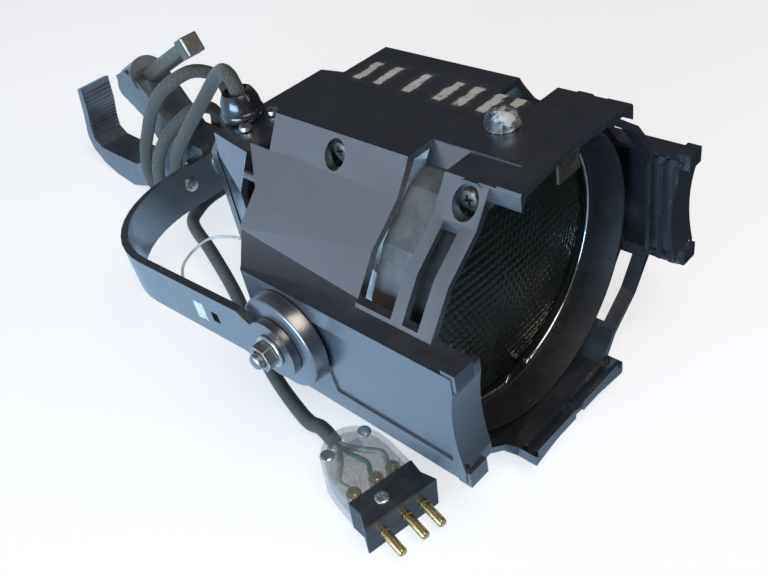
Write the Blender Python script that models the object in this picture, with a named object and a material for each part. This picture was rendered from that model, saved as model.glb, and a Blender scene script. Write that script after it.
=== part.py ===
"""Par light: die-cast theatre lantern with yoke, pipe clamp and stage-pin lead.

Lamp places are given as (side, ahead, up) in millimetres: side from the lens axis with the
knob side positive, ahead of the tilt axis towards the lens, and up from the lens axis.
The finished part leans back on the rear edge of its bottom arm and on the clamp's back, as
such a lantern does when it is put down, with the light leaving towards -Y and a little up.
"""
import math

import bmesh
import bpy
from mathutils import Matrix, Vector

# places in the world
TILT_Y = -138.4          # world Y of the tilt axis

LENS_RADIUS = 84.0

# octagonal barrel
PLATE_HALF = 45.0        # half width of the flat top and bottom plates
PLATE_UP = LENS_RADIUS + 10.5     # height of those plates over the lens axis
POD_SIDE = 109.5         # outer face of the side arms
POD_HALF = 36.0          # half height of the side arms
WALL = 3.6
REAR = -54.0             # rear rim of the barrel
SLOT_1 = (46.0, 70.0)
SLOT_2 = (77.5, 87.5)
BARREL_FRONT = 96.5
PLATE_FRONT = 112.0
POD_REAR = -32.0
POD_FRONT = 117.5
SEAM_GAP = 0.3
FRAME_HALF = 97.0        # half the room for a 190 mm colour frame
CHANNEL_RIBS = (98.0, 105.5, 113.5)
BORE = 7.4               # access holes for the housing screws
BORE_AHEAD = (-3.0, 86.0)
BORE_UP = PLATE_UP - 9.5

# optics
RING_REAR = 49.0
RING_FRONT = 83.0
LATCH_REAR = RING_FRONT + 1.5     # hinge line of the frame clip
RING_OUTER = LENS_RADIUS + 6.5
RING_RIM = 1.6           # thickness of its front wall
RING_WALL = LENS_RADIUS + 3.4     # outside of the ring where it passes inside the baffle
RING_SEAT = LENS_RADIUS - 3.5     # inside of the step that carries the lens
BAFFLE_RADIUS = LENS_RADIUS + 6.4  # over the corners of its eighteen flats
BAFFLE_SIDES = 18
BAFFLE_REAR = 44.0
BAFFLE_FRONT = 71.0
LENS_AHEAD = 52.0
REFLECTOR_MOUTH = LENS_RADIUS - 5.0
REFLECTOR_FRONT = 42.0
REFLECTOR_REAR = -38.0

# rear cap with the lampholder
CAP_FRONT = -82.0
CAP_REAR = -124.0
CAP_WALL = 3.5
CAP_TOP = 66.0           # half height of the cap
CAP_MOUTH = [(54.0, CAP_TOP), (66.0, 45.0)]     # upper corners of its front edge
CAP_END = [(47.0, CAP_TOP - 1.0), (48.5, 50.0)]     # and of its rear end
CAP_PLATE = (-128.0, -134.0)      # front and back of the plate behind it
LAMP_HOLDER_REAR = -108.0
STUD_PLACE = (58.5, 53.5)
RIM_TAB = -72.0          # rear end of the tabs on the barrel's upper corners
CORD_RADIUS = 4.9
CORD_SPACING = 13.0
GLAND_PLACE = (-24.0, CAP_REAR + 3.0)     # side and ahead of its axis
GLAND_RADIUS = 14.0
GLAND_HIGH = 17.0
GLAND_UP = CAP_TOP + 0.3
SCREW_PLACES = ((-35.5, CAP_REAR + 19.0), (-13.0, CAP_REAR + 19.0))
SPIDER_REAR = REAR + 6.0
SPIDER_REACH = LENS_RADIUS + 4.0

# tilt pivots and yoke
PIVOT_UP = 4.5
DISC_RADIUS = 29.0
DISC_SIDE = (POD_SIDE + 0.3, POD_SIDE + 9.8)
STRAP = 5.0
STRAP_INNER = POD_SIDE + 10.3
STRAP_HALF = 15.5        # half width of the strap
STRAP_START = 2.5        # height of its middle at the tilt axis
STRAP_RISE = 3.0         # and its rise from there to the crossbar
STRAP_END = 18.1
YOKE_BACK = 208.0        # tilt axis to the outer face of the crossbar
YOKE_BEND = 84.0         # outer radius of the strap's corners
YOKE_DROP = math.radians(5.0)
NOTCH = 23.0
SQUARE_HOLE = ((47.0, 54.0), (0.0, 7.0))      # back from the tilt axis, and up from it
SCREW_HOLE = (-35.0, 7.8)       # side and height of the crossbar's second hole

# clamp, in the yoke's frame
CLAMP_WIDE = 28.0
CLAMP_UP = 10.5          # its spigot over the tilt axis, measured across the yoke
BOLT_SLOPE = math.radians(21.8)
BOLT_RADIUS = 6.2
BOLT_BOSS = -15.0        # near face of its boss, along the bolt from the boss's middle
BOLT_HEAD = -99.0
BOLT_LONG = 131.0
# the clamp's outline from the crossbar's outer face and the spigot's axis
HOOK = [(0.6, -16.0), (30.0, -20.0), (70.0, -32.0), (106.0, -41.0), (146.0, -48.0), (170.0, -42.0),
        (188.0, -33.0), (198.0, -20.0), (198.5, -8.0), (186.0, 16.0), (175.0, 41.0), (168.0, 42.0),
        (175.0, 20.0), (184.0, 3.0), (187.5, -9.0), (180.0, -16.0), (157.0, -19.0), (122.0, -22.0),
        (84.0, -8.0), (60.0, 8.0), (70.0, 30.0), (92.0, 48.0), (88.0, 64.0), (72.0, 69.0),
        (56.0, 60.0), (30.0, 19.0), (0.6, 15.0)]

# plug on the floor
PLUG_WIDE = 44.0         # across the cover
PLUG_FLARE = 51.0        # across the block at the pins
PLUG_LONG = 47.0         # length of the cover
PLUG_TURN = math.radians(10.0)
PLUG_THICK = 25.0
PIN_RADIUS = 2.9

MATERIALS = {
    "black_casting": ((0.035, 0.036, 0.042), 0.55, 0.0),
    "black_steel": ((0.025, 0.026, 0.032), 0.5, 0.0),
    "grey_baffle": ((0.22, 0.21, 0.2), 0.6, 0.0),
    "bright_aluminium": ((0.75, 0.76, 0.78), 0.15, 1.0),
    "moulded_glass": ((0.5, 0.55, 0.53), 0.08, 0.0),
    "zinc": ((0.62, 0.62, 0.6), 0.35, 1.0),
    "chrome_wire": ((0.75, 0.75, 0.74), 0.15, 1.0),
    "ceramic": ((0.8, 0.78, 0.72), 0.5, 0.0),
    "clear_glass": ((0.8, 0.85, 0.85), 0.05, 0.0),
    "cast_iron": ((0.05, 0.052, 0.06), 0.75, 0.0),
    "worn_steel": ((0.22, 0.21, 0.19), 0.45, 1.0),
    "braided_sleeve": ((0.12, 0.12, 0.1), 0.9, 0.0),
    "clear_plastic": ((0.7, 0.74, 0.75), 0.12, 0.0),
    "black_plastic": ((0.03, 0.03, 0.03), 0.5, 0.0),
    "brass": ((0.75, 0.6, 0.3), 0.3, 1.0),
    "pale_plastic": ((0.85, 0.86, 0.88), 0.35, 0.0),
}


def clear_scene():
    for obj in list(bpy.data.objects):
        bpy.data.objects.remove(obj, do_unlink=True)


def material(name):
    found = bpy.data.materials.get(name)
    if found:
        return found
    colour, roughness, metallic = MATERIALS[name]
    made = bpy.data.materials.new(name)
    made.use_nodes = True
    shader = made.node_tree.nodes["Principled BSDF"]
    shader.inputs["Base Color"].default_value = (*colour, 1.0)
    shader.inputs["Roughness"].default_value = roughness
    shader.inputs["Metallic"].default_value = metallic
    made.diffuse_color = (*colour, 1.0)
    return made


def in_yoke(side, back, high):
    """Place from the lens axis over the tilt axis, lamp level, of a point on the yoke."""
    drop = Matrix.Rotation(-YOKE_DROP, 3, "X")
    return drop @ Vector((side, back, high)) + Vector((0, 0, PIVOT_UP))


def resting_lean():
    """Angle at which the bottom arm's rear edge and the clamp's back both touch the floor."""
    edge = Vector((0, -REAR, -PLATE_UP))
    spans = [in_yoke(0, YOKE_BACK + back, high + CLAMP_UP) - edge for back, high in HOOK]
    return min(math.atan2(span.z, span.y) for span in spans)


LEAN = resting_lean()
LEANING = Matrix.Rotation(-LEAN, 3, "X")
AXIS_UP = -(LEANING @ Vector((0, -REAR, -PLATE_UP))).z     # puts that rear edge on the floor


def lamp(side, ahead, up):
    """World place of a point given from the tilt axis and the lens axis."""
    return Vector((0, TILT_Y, AXIS_UP)) + LEANING @ Vector((side, -ahead, up))


AHEAD = LEANING @ Vector((0, -1, 0))
BACK = -AHEAD
UP = LEANING @ Vector((0, 0, 1))


def yoke(side, back, high):
    """World place of a point given from the tilt axis along and across the yoke's arms."""
    return Vector((0, TILT_Y, AXIS_UP)) + LEANING @ in_yoke(side, back, high)


def yoke_direction(side, back, high):
    return (yoke(side, back, high) - yoke(0, 0, 0)).normalized()


def finish(bm, name, slot, smooth=False, origin=None):
    """Turn a bmesh in world metres into one named object, its origin where asked."""
    bmesh.ops.remove_doubles(bm, verts=bm.verts, dist=1e-4)
    bmesh.ops.recalc_face_normals(bm, faces=bm.faces)
    if origin is not None:
        bmesh.ops.translate(bm, verts=bm.verts, vec=-Vector(origin))
    mesh = bpy.data.meshes.new(name)
    bm.to_mesh(mesh)
    bm.free()
    if smooth:
        for face in mesh.polygons:
            face.use_smooth = True
        mesh.set_sharp_from_angle(angle=math.radians(35))
    mesh.materials.append(material(slot))
    obj = bpy.data.objects.new(name, mesh)
    if origin is not None:
        obj.location = origin
    bpy.context.scene.collection.objects.link(obj)
    return obj


def add_loft(bm, rings):
    """Closed solid through rings of equal point counts, in order along the body."""
    layers = [[bm.verts.new(point) for point in ring] for ring in rings]
    count = len(layers[0])
    for below, above in zip(layers, layers[1:]):
        for i in range(count):
            j = (i + 1) % count
            bm.faces.new((below[i], below[j], above[j], above[i]))
    bm.faces.new(list(reversed(layers[0])))
    bm.faces.new(layers[-1])
    return bm


def loft(name, slot, rings, smooth=False, origin=None):
    return finish(add_loft(bmesh.new(), rings), name, slot, smooth, origin)


def box(name, slot, side, ahead, up, place=lamp, origin=None):
    """Box between two sides, two distances ahead and two heights."""
    rings = [[place(side[i], ahead[0], up[j]) for i, j in ((0, 0), (1, 0), (1, 1), (0, 1))],
             [place(side[i], ahead[1], up[j]) for i, j in ((0, 0), (1, 0), (1, 1), (0, 1))]]
    return loft(name, slot, rings, origin=origin)


def turned(name, slot, start, direction, profile, sides=32, smooth=True, origin=None, phase=0.0):
    """Turned solid: profile is (along, radius) in millimetres from start; radius 0 closes an end."""
    direction = Vector(direction).normalized()
    across = direction.orthogonal().normalized()
    if abs(direction.z) < 0.9:
        across = direction.cross(Vector((0, 0, 1))).normalized()
    third = direction.cross(across)
    bm = bmesh.new()
    layers = []
    for along, radius in profile:
        centre = Vector(start) + direction * along
        if radius == 0:
            layers.append([bm.verts.new(centre)])
            continue
        ring = []
        for i in range(sides):
            angle = phase + 2 * math.pi * i / sides
            spoke = across * math.cos(angle) + third * math.sin(angle)
            ring.append(bm.verts.new(centre + spoke * radius))
        layers.append(ring)
    closed = len(layers[0]) > 1 and len(layers[-1]) > 1
    pairs = list(zip(layers, layers[1:]))
    if closed:
        pairs.append((layers[-1], layers[0]))
    for low, high in pairs:
        for i in range(sides):
            j = (i + 1) % sides
            if len(low) == 1:
                bm.faces.new((low[0], high[j], high[i]))
            elif len(high) == 1:
                bm.faces.new((low[i], low[j], high[0]))
            else:
                bm.faces.new((low[i], low[j], high[j], high[i]))
    return finish(bm, name, slot, smooth, origin)


def rod(name, slot, start, direction, length, radius, sides=24, chamfer=0.5, origin=None):
    profile = [(0, 0), (0, radius - chamfer), (chamfer, radius), (length - chamfer, radius),
               (length, radius - chamfer), (length, 0)]
    return turned(name, slot, start, direction, profile, sides, origin=origin)


def prism(name, slot, outline, place, across, origin=None, smooth=False):
    """Flat outline of (a, b) points given thickness between two values of the first coordinate."""
    rings = [[place(value, a, b) for a, b in outline] for value in across]
    return loft(name, slot, rings, smooth, origin)


def triangulate(obj):
    bm = bmesh.new()
    bm.from_mesh(obj.data)
    bmesh.ops.triangulate(bm, faces=bm.faces)
    bm.to_mesh(obj.data)
    bm.free()


def close_slits(mesh):
    """Close the hair-thin slits that a Boolean leaves beside very thin triangles."""
    bm = bmesh.new()
    bm.from_mesh(mesh)
    bmesh.ops.remove_doubles(bm, verts=bm.verts, dist=1e-3)
    bmesh.ops.dissolve_degenerate(bm, edges=bm.edges, dist=1e-3)
    bmesh.ops.triangulate(bm, faces=[face for face in bm.faces if len(face.verts) > 3])
    rims = [edge for edge in bm.edges if edge.is_boundary]
    if rims:
        bmesh.ops.holes_fill(bm, edges=rims, sides=0)
    bm.to_mesh(mesh)
    bm.free()


def combine(target, others, operation):
    """Boolean the other objects into the target's mesh and remove them."""
    for obj in [target] + others:
        triangulate(obj)
    for other in others:
        cut = target.modifiers.new("cut", "BOOLEAN")
        cut.operation = operation
        cut.solver = "EXACT"
        cut.object = other
        depsgraph = bpy.context.evaluated_depsgraph_get()
        depsgraph.update()
        mesh = bpy.data.meshes.new_from_object(target.evaluated_get(depsgraph))
        target.modifiers.remove(cut)
        old = target.data
        target.data = mesh
        bpy.data.meshes.remove(old)
        close_slits(mesh)
    for other in others:
        bpy.data.objects.remove(other, do_unlink=True)
    return target


def arc(centre, radius, start, end, steps):
    """Points on an arc in a plane, angles in degrees."""
    points = []
    for i in range(steps + 1):
        angle = math.radians(start + (end - start) * i / steps)
        points.append((centre[0] + radius * math.cos(angle), centre[1] + radius * math.sin(angle)))
    return points


def mirrored_section(quarter):
    """Closed (side, up) section from the points of its upper handle-side quarter."""
    upper = quarter + [(-side, up) for side, up in reversed(quarter)]
    return upper + [(side, -up) for side, up in reversed(upper)]


def barrel_section(ahead, inset=0.0):
    """Octagonal section with side pods at a distance ahead; inset gives the inner wall."""
    front = ahead > SLOT_1[0] - 1
    rear_share = 0.0 if front else min(1.0, (SLOT_1[0] - ahead) / (SLOT_1[0] - REAR))
    shoulder = LENS_RADIUS - (26.0 if front else 28.0)
    middle = LENS_RADIUS - (3.0 if front else 6.5 + 4.0 * rear_share)
    foot = POD_SIDE - (11.5 if front else 16.5 + 3.0 * rear_share)
    foot_up = 37.5 + 6.5 * rear_share
    quarter = [
        (POD_SIDE - inset, POD_HALF - inset),
        (foot - 0.7 * inset, foot_up - inset),
        (middle - 0.7 * inset, PLATE_UP - 35.0 - 0.7 * inset),
        (shoulder - 0.8 * inset, PLATE_UP - 18.0 - 0.7 * inset),
        (PLATE_HALF - inset, PLATE_UP - inset),
    ]
    return mirrored_section(quarter)


def barrel_rings(stations, inset=0.0):
    return [[lamp(side, ahead, up) for side, up in barrel_section(section, inset)]
            for ahead, section in stations]


def make_shell():
    """Outer barrel with its four arms, hollow from end to end."""
    step = SLOT_1[0] - 1
    outer = loft("shell", "black_casting", barrel_rings(
        [(REAR, REAR), (step, step), (step + 1.5, step + 2), (POD_FRONT, POD_FRONT)]))
    inner = loft("inner", "black_casting", barrel_rings(
        [(REAR - 5, REAR), (step, step), (step + 1.5, step + 2), (POD_FRONT + 5, POD_FRONT)], WALL))
    combine(outer, [inner], "DIFFERENCE")
    cutters = []
    for side in (-1, 1):
        bevel = [(REAR - 10, POD_SIDE * 0.7), (REAR - 0.5, POD_SIDE - 22.0), (POD_REAR, POD_SIDE + 0.5),
                 (POD_REAR, POD_SIDE + 10), (REAR - 10, POD_SIDE + 10)]
        rings = [[lamp(side * away, ahead, up) for ahead, away in bevel] for up in (-60.0, 60.0)]
        cutters.append(loft("cut", "black_casting", rings))
        for up in (-1, 1):
            corner = [(PLATE_HALF + 1, 110.0), (PLATE_HALF + 1, 72.0), (78.0, POD_HALF + 0.8),
                      (130.0, POD_HALF + 0.8), (130.0, 110.0)]
            rings = [[lamp(side * away, ahead, up * high) for away, high in corner]
                     for ahead in (BARREL_FRONT, POD_FRONT + 8)]
            cutters.append(loft("cut", "black_casting", rings))
            slot_high = sorted((up * (PLATE_UP - 16.9), up * (PLATE_UP + 16.0)))
            if up > 0:
                slot_side = sorted((side * 26.0, side * 70.0))
                cutters.append(box("cut", "black_casting", slot_side, SLOT_1, slot_high))
            for slot in (SLOT_1, SLOT_2):
                if slot == SLOT_1:
                    diagonal = [(44.0, PLATE_UP - 16.9), (54.0, PLATE_UP - 25.0)]
                else:
                    diagonal = [(58.5, PLATE_UP - 18.5), (59.5, PLATE_UP - 29.0)]
                diagonal += [(84.0, POD_HALF + 3.2), (112.0, POD_HALF + 3.2), (80.0, 100.0)]
                rings = [[lamp(side * away, ahead, up * high) for away, high in diagonal]
                         for ahead in slot]
                cutters.append(loft("cut", "black_casting", rings))
    for up in (-1, 1):
        notch = [(-60.0, POD_FRONT + 8), (-PLATE_HALF - 2, PLATE_FRONT + 1.8), (0.0, PLATE_FRONT - 2),
                 (PLATE_HALF + 2, PLATE_FRONT + 1.8), (60.0, POD_FRONT + 8)]
        if up < 0:
            notch = [(away, ahead - 5.0 if ahead < POD_FRONT else ahead) for away, ahead in notch]
        rings = [[lamp(away, ahead, high) for away, ahead in notch]
                 for high in sorted((up * (PLATE_UP - 16.5), up * (PLATE_UP + 16.0)))]
        cutters.append(loft("cut", "black_casting", rings))
    combine(outer, cutters, "DIFFERENCE")
    return outer


def make_channel_ribs(side):
    """Ribs inside one side arm that make the two colour-frame channels."""
    ribs = []
    for index, ahead in enumerate(CHANNEL_RIBS):
        thick = 2.6 if index < 2 else POD_FRONT - 0.4 - CHANNEL_RIBS[2]
        ends = sorted((side * 88.5, side * (POD_SIDE - WALL + 1.0)))
        ribs.append(box("rib", "black_casting", ends, (ahead, ahead + thick), (-32.9, 32.9)))
    ends = sorted((side * FRAME_HALF, side * (POD_SIDE - WALL + 1.0)))
    ribs.append(box("rib", "black_casting", ends, (CHANNEL_RIBS[0] - 3, POD_FRONT - 0.9), (-33.3, 33.3)))
    return ribs


def make_side_details(side):
    """Lugs on the arm's front, its sloping rear wall, slot walls, rim tabs and hole bosses."""
    details = []
    for up in (-1, 1):
        high = sorted((up * 28.5, up * 38.5))
        details.append(box("lug", "black_casting", sorted((side * 96.0, side * (POD_SIDE - 0.6))),
                           (POD_FRONT - 6, POD_FRONT + 2.4), high))
    slope = [(REAR + 0.4, 84.0), (REAR + 0.4, 88.2), (POD_REAR - 0.6, POD_SIDE - 0.3),
             (POD_REAR + 3.4, POD_SIDE - 0.3), (POD_REAR + 3.4, POD_SIDE - WALL - 0.4)]
    rings = [[lamp(side * away, ahead, up) for ahead, away in slope] for up in (-POD_HALF, POD_HALF)]
    details.append(loft("slope", "black_casting", rings))
    slot_wall = [(26.0, PLATE_UP - 0.6), (33.4, PLATE_UP - 9.7), (31.0, PLATE_UP - 8.8),
                 (22.0, PLATE_UP - 1.5)]
    rings = [[lamp(side * away, ahead, up) for away, up in slot_wall]
             for ahead in (SLOT_1[0] - 0.6, SLOT_1[1] + 0.6)]
    details.append(loft("slot_wall", "black_casting", rings))
    corner, middle = (56.0, PLATE_UP - 18.0), (73.5, PLATE_UP - 35.0)
    tab = [(REAR + 1.0, *corner), (RIM_TAB, *corner), (REAR + 1.0, *middle)]
    rings = [[lamp(side * (away - 0.3 - 1.7 * deep), ahead, high - 0.3 - 1.8 * deep)
              for ahead, away, high in tab] for deep in (0, 1)]
    details.append(loft("tab", "black_casting", rings))
    for ahead, away, deep in ((BORE_AHEAD[0], 40.0, 30.0), (BORE_AHEAD[1], 43.0, 30.0)):
        start = lamp(side * (away - 4), ahead, BORE_UP)
        details.append(turned("boss", "black_casting", start, (side, 0, 0),
                              [(0, 0), (0, BORE + 2.2), (8, BORE + 2.2), (8, 0)], 20))
    return details


def make_housing():
    """Two die-cast halves that meet on the seam along the top."""
    shell = make_shell()
    added = []
    for side in (-1, 1):
        added += make_channel_ribs(side)
        added += make_side_details(side)
        floor_rib = sorted((side * 4.0, side * 42.0))
        for ahead in CHANNEL_RIBS[:2]:
            added.append(box("rib", "black_casting", floor_rib, (ahead, ahead + 2.6),
                             (-PLATE_UP + WALL - 1, -PLATE_UP + 10.0)))
    combine(shell, added, "UNION")
    cutters = []
    for side in (-1, 1):
        for ahead, away in zip(BORE_AHEAD, (43.5, 46.0)):
            cutters.append(turned("bore", "black_casting", lamp(side * away, ahead, BORE_UP),
                                  (side, 0, 0), [(0, 0), (0, BORE), (40, BORE), (40, 0)], 20))
        panel = [(20.0, 24.0), (28.0, -24.0), (POD_FRONT - 7, -24.0), (POD_FRONT - 7, 24.0)]
        rings = [[lamp(side * away, ahead, up) for ahead, up in panel]
                 for away in (POD_SIDE - 1.2, POD_SIDE + 5)]
        cutters.append(loft("panel", "black_casting", rings))
        scallop = [(POD_FRONT + 8, up) for up in (28.4, -28.4)]
        scallop += arc((POD_FRONT + 112.0, 0.0), 115.2, 180 + 14.3, 180 - 14.3, 8)
        rings = [[lamp(side * away, ahead, up) for ahead, up in scallop] for away in (80.0, 120.0)]
        cutters.append(loft("scallop", "black_casting", rings))
        step = sorted((side * 26.0, side * 60.0))
        cutters.append(box("step", "black_casting", step, (SLOT_1[1] - 1, SLOT_1[1] + 30),
                           (PLATE_UP - 0.8, PLATE_UP + 6)))
    room = RING_OUTER + 0.35
    cutters.append(turned("room", "black_casting", lamp(0, BAFFLE_REAR, 0), AHEAD,
                          [(0, 0), (0, room), (RING_FRONT + 0.8 - BAFFLE_REAR, room),
                           (RING_FRONT + 0.8 - BAFFLE_REAR, 0)], 96))
    combine(shell, cutters, "DIFFERENCE")
    halves = []
    for name, side in (("housing_left_half", -1), ("housing_right_half", 1)):
        half = shell.copy()
        half.data = shell.data.copy()
        half.name = name
        bpy.context.scene.collection.objects.link(half)
        room = sorted((side * SEAM_GAP / 2, side * 200.0))
        keep = box("keep", "black_casting", room, (REAR - 50, POD_FRONT + 50), (-200.0, 200.0))
        combine(half, [keep], "INTERSECT")
        halves.append(half)
    bpy.data.objects.remove(shell, do_unlink=True)
    return halves


def make_housing_screws():
    """Cross-head screws at the bottom of the access holes."""
    for side, word in ((-1, "left"), (1, "right")):
        for index, (ahead, away) in enumerate(zip(BORE_AHEAD, (43.5, 46.0))):
            start = lamp(side * (away + 0.3), ahead, BORE_UP)
            turned("housing_screw_%s_%d" % (word, index + 1), "zinc", start, (side, 0, 0),
                   [(0, 0), (0, 5.2), (2.0, 5.2), (3.2, 3.8), (3.6, 0)], 16)


def make_seam_knob():
    """Domed knob on the seam behind the front edge, over the colour-frame latch."""
    start = lamp(0, 69.0, PLATE_UP + 0.3)
    turned("seam_knob", "zinc", start, UP,
           [(0, 0), (0, 9.4), (4.0, 9.0), (7.0, 7.6), (9.0, 4.6), (9.8, 0)], 24)


def make_frame_latch():
    """Spring clip under the top plate that keeps a colour frame in its channel."""
    up = PLATE_UP - WALL - 0.3
    outline = [(LATCH_REAR, up), (105.5, up), (107.5, up - 3), (107.5, up - 14), (105.9, up - 14.5),
               (105.9, up - 4), (104.5, up - 1.6), (LATCH_REAR, up - 1.6)]
    pivot = lamp(0, LATCH_REAR, up - 0.8)
    prism("frame_latch", "worn_steel", outline, lamp, (-9.0, 9.0), origin=pivot)


def make_baffle():
    """Faceted heat baffle seen through the slots of the barrel."""
    length = BAFFLE_FRONT - BAFFLE_REAR
    inner = BAFFLE_RADIUS - 1.2
    profile = [(0, BAFFLE_RADIUS), (0, inner), (length, inner), (length, BAFFLE_RADIUS)]
    turned("heat_baffle", "grey_baffle", lamp(0, BAFFLE_REAR, 0), AHEAD, profile, BAFFLE_SIDES,
           smooth=False)


def make_reflector():
    """Spun bowl behind the lens, open at the back for the lamp."""
    inside = []
    outside = []
    steps = 6
    for i in range(steps + 1):
        share = i / steps
        ahead = REFLECTOR_REAR + (REFLECTOR_FRONT - REFLECTOR_REAR) * share
        radius = 24.0 + (REFLECTOR_MOUTH - 24.0) * math.sqrt(share) * (0.9 + 0.1 * share)
        inside.append((ahead, radius))
        outside.append((ahead, radius + 1.4))
    outside += [(REFLECTOR_FRONT, LENS_RADIUS), (REFLECTOR_FRONT + 1.4, LENS_RADIUS),
                (REFLECTOR_FRONT + 1.4, REFLECTOR_MOUTH)]
    profile = [(-ahead, radius) for ahead, radius in outside + list(reversed(inside))]
    turned("reflector", "bright_aluminium", lamp(0, 0, 0), BACK, profile, 28)


def make_lens_ring():
    """Ring that turns with the lens, with a wall reaching towards the front."""
    length = RING_FRONT - RING_REAR
    flange = BAFFLE_FRONT - RING_REAR + 0.6
    inside = RING_WALL - 1.4
    profile = [(0, RING_SEAT), (0, RING_WALL), (flange, RING_WALL), (flange, RING_OUTER),
               (length, RING_OUTER), (length, RING_OUTER - RING_RIM), (flange, inside), (2.0, inside),
               (2.0, RING_SEAT)]
    turned("lens_ring", "black_casting", lamp(0, RING_REAR, 0), AHEAD, profile, 48,
           origin=lamp(0, RING_REAR, 0))


def make_lens():
    """Moulded lens, slightly domed to the front."""
    front = [(5.5 + 5.0 * (1 - (radius / LENS_RADIUS) ** 2), radius)
             for radius in [LENS_RADIUS * share for share in (1.0, 0.75, 0.5, 0.25, 0.0)]]
    profile = [(0, 0)] + [(0, LENS_RADIUS)] + front
    turned("lens", "moulded_glass", lamp(0, LENS_AHEAD - 0.5, 0), AHEAD, profile, 48,
           origin=lamp(0, LENS_AHEAD - 0.5, 0))


def make_wire_ring(name, ahead, radius, thick):
    """Round wire bent to a ring in front of the lens."""
    profile = arc((0, radius), thick, 0, 288, 4)
    turned(name, "chrome_wire", lamp(0, ahead, 0), AHEAD, profile, 48, origin=lamp(0, ahead, 0))


def cap_section(corners, ahead, inset=0.0):
    """Eight-sided section of the cap at a distance ahead."""
    return [lamp(side, ahead, up) for side, up in
            mirrored_section([(side - inset, up - inset) for side, up in reversed(corners)])]


def make_rear_cap():
    """Eight-sided cap behind the barrel that carries the lampholder, with a plate at its back."""
    cap = loft("rear_cap", "black_casting",
               [cap_section(CAP_MOUTH, CAP_FRONT), cap_section(CAP_END, CAP_REAR)])
    inside = loft("hollow", "black_casting", [cap_section(CAP_MOUTH, CAP_FRONT + 1, CAP_WALL),
                                              cap_section(CAP_END, CAP_REAR + 4, CAP_WALL)])
    combine(cap, [inside], "DIFFERENCE")
    reach = SPIDER_REAR - CAP_REAR - 2
    tube = turned("tube", "black_casting", lamp(0, SPIDER_REAR, 0), BACK,
                  [(0, 14.0), (0, 22.0), (reach, 22.0), (reach, 14.0)], 24)
    neck = [(36.0, 50.0), (42.0, 40.0)]
    plate = [(40.0, 57.0), (47.5, 49.0)]
    link = loft("link", "black_casting",
                [cap_section(neck, CAP_REAR + 1), cap_section(neck, CAP_PLATE[0] - 1)])
    back = loft("plate", "black_casting",
                [cap_section(plate, CAP_PLATE[0]), cap_section(plate, CAP_PLATE[1])])
    dome = turned("dome", "black_casting", lamp(0, CAP_PLATE[1] + 1, 0), BACK,
                  [(0, 0), (0, 30.0), (4, 29.0), (7, 22.0), (8, 0)], 24)
    combine(cap, [tube, link, back, dome], "UNION")
    return cap


def make_cap_struts():
    """Four studs that hold the rear cap off the barrel, so air passes between them."""
    for index, (across, high) in enumerate(((1, 1), (-1, 1), (-1, -1), (1, -1))):
        start = lamp(across * STUD_PLACE[0], CAP_FRONT + 0.3, high * STUD_PLACE[1])
        length = SPIDER_REAR - CAP_FRONT - 0.6
        rod("cap_stud_%d" % (index + 1), "black_steel", start, AHEAD, length, 3.2, 12)


def make_rear_frame():
    """Spider inside the barrel's rear rim that the cap's studs screw into."""
    ring = turned("rear_spider", "black_casting", lamp(0, SPIDER_REAR, 0), AHEAD,
                  [(0, 42.0), (0, 52.0), (3.0, 52.0), (3.0, 42.0)], 32)
    arms = []
    for angle in (45, 135, 225, 315):
        turn = Matrix.Rotation(math.radians(angle), 3, "Y")
        corners = ((48.0, -5.0), (SPIDER_REACH, -5.0), (SPIDER_REACH, 5.0), (48.0, 5.0))
        rings = []
        for ahead in (0.0, 3.0):
            ring_points = []
            for along, wide in corners:
                spoke = turn @ Vector((along, 0, wide))
                ring_points.append(lamp(spoke.x, SPIDER_REAR + ahead, spoke.z))
            rings.append(ring_points)
        arms.append(loft("arm", "black_casting", rings))
    combine(ring, arms, "UNION")
    return ring


def make_lamp():
    """Lampholder, lamp base and quartz envelope on the lens axis."""
    rod("lampholder", "ceramic", lamp(0, LAMP_HOLDER_REAR, 0), AHEAD, 46.0, 13.4, 20, 1.0)
    base_at = LAMP_HOLDER_REAR + 46.3
    turned("lamp_base", "bright_aluminium", lamp(0, base_at, 0), AHEAD,
           [(0, 0), (0, 11.5), (9, 11.5), (9, 9.5), (11, 9.5), (11, 11.5), (20, 11.5), (20, 6.0), (23, 6.0), (23, 0)], 20)
    turned("lamp_envelope", "clear_glass", lamp(0, base_at + 23.3, 0), AHEAD,
           [(0, 0), (0, 5.0), (3, 8.5), (34, 8.5), (38, 6.0), (41, 2.0), (42, 0)], 20)


def make_cap_screws():
    """Zinc screws on top of the rear cap, beside the gland."""
    for index, (side, ahead) in enumerate(SCREW_PLACES):
        turned("cap_screw_%d" % (index + 1), "zinc", lamp(side, ahead, CAP_TOP + 0.3), UP,
               [(0, 0), (0, 4.2), (1.8, 4.2), (2.8, 3.0), (3.2, 0)], 16)


def make_cord_gland():
    """Domed boot on top of the rear cap through which the lead leaves it."""
    bore = CORD_RADIUS + 1.0
    turned("cord_gland", "black_plastic", lamp(*GLAND_PLACE, GLAND_UP), UP,
           [(0, 0), (0, GLAND_RADIUS - 1), (1.5, GLAND_RADIUS), (5, GLAND_RADIUS), (8, GLAND_RADIUS - 1.2),
            (14, 11.4), (GLAND_HIGH, bore + 4.2), (GLAND_HIGH, bore + 3.2), (GLAND_HIGH - 6, bore),
            (GLAND_HIGH - 6, 0)], 24)


def pivot_stack(side, word):
    """Friction disc, washer, nut and bolt of one tilt pivot."""
    centre = lamp(0, 0, PIVOT_UP)
    face = Vector((side, 0, 0))
    turned("pivot_disc_" + word, "black_casting", centre + face * DISC_SIDE[0], face,
           [(0, 0), (0, DISC_RADIUS), (7.6, DISC_RADIUS - 0.6), (9.5, DISC_RADIUS - 2.4), (9.5, 0)], 48)
    outer = STRAP_INNER + STRAP
    return centre, face, outer


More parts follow.
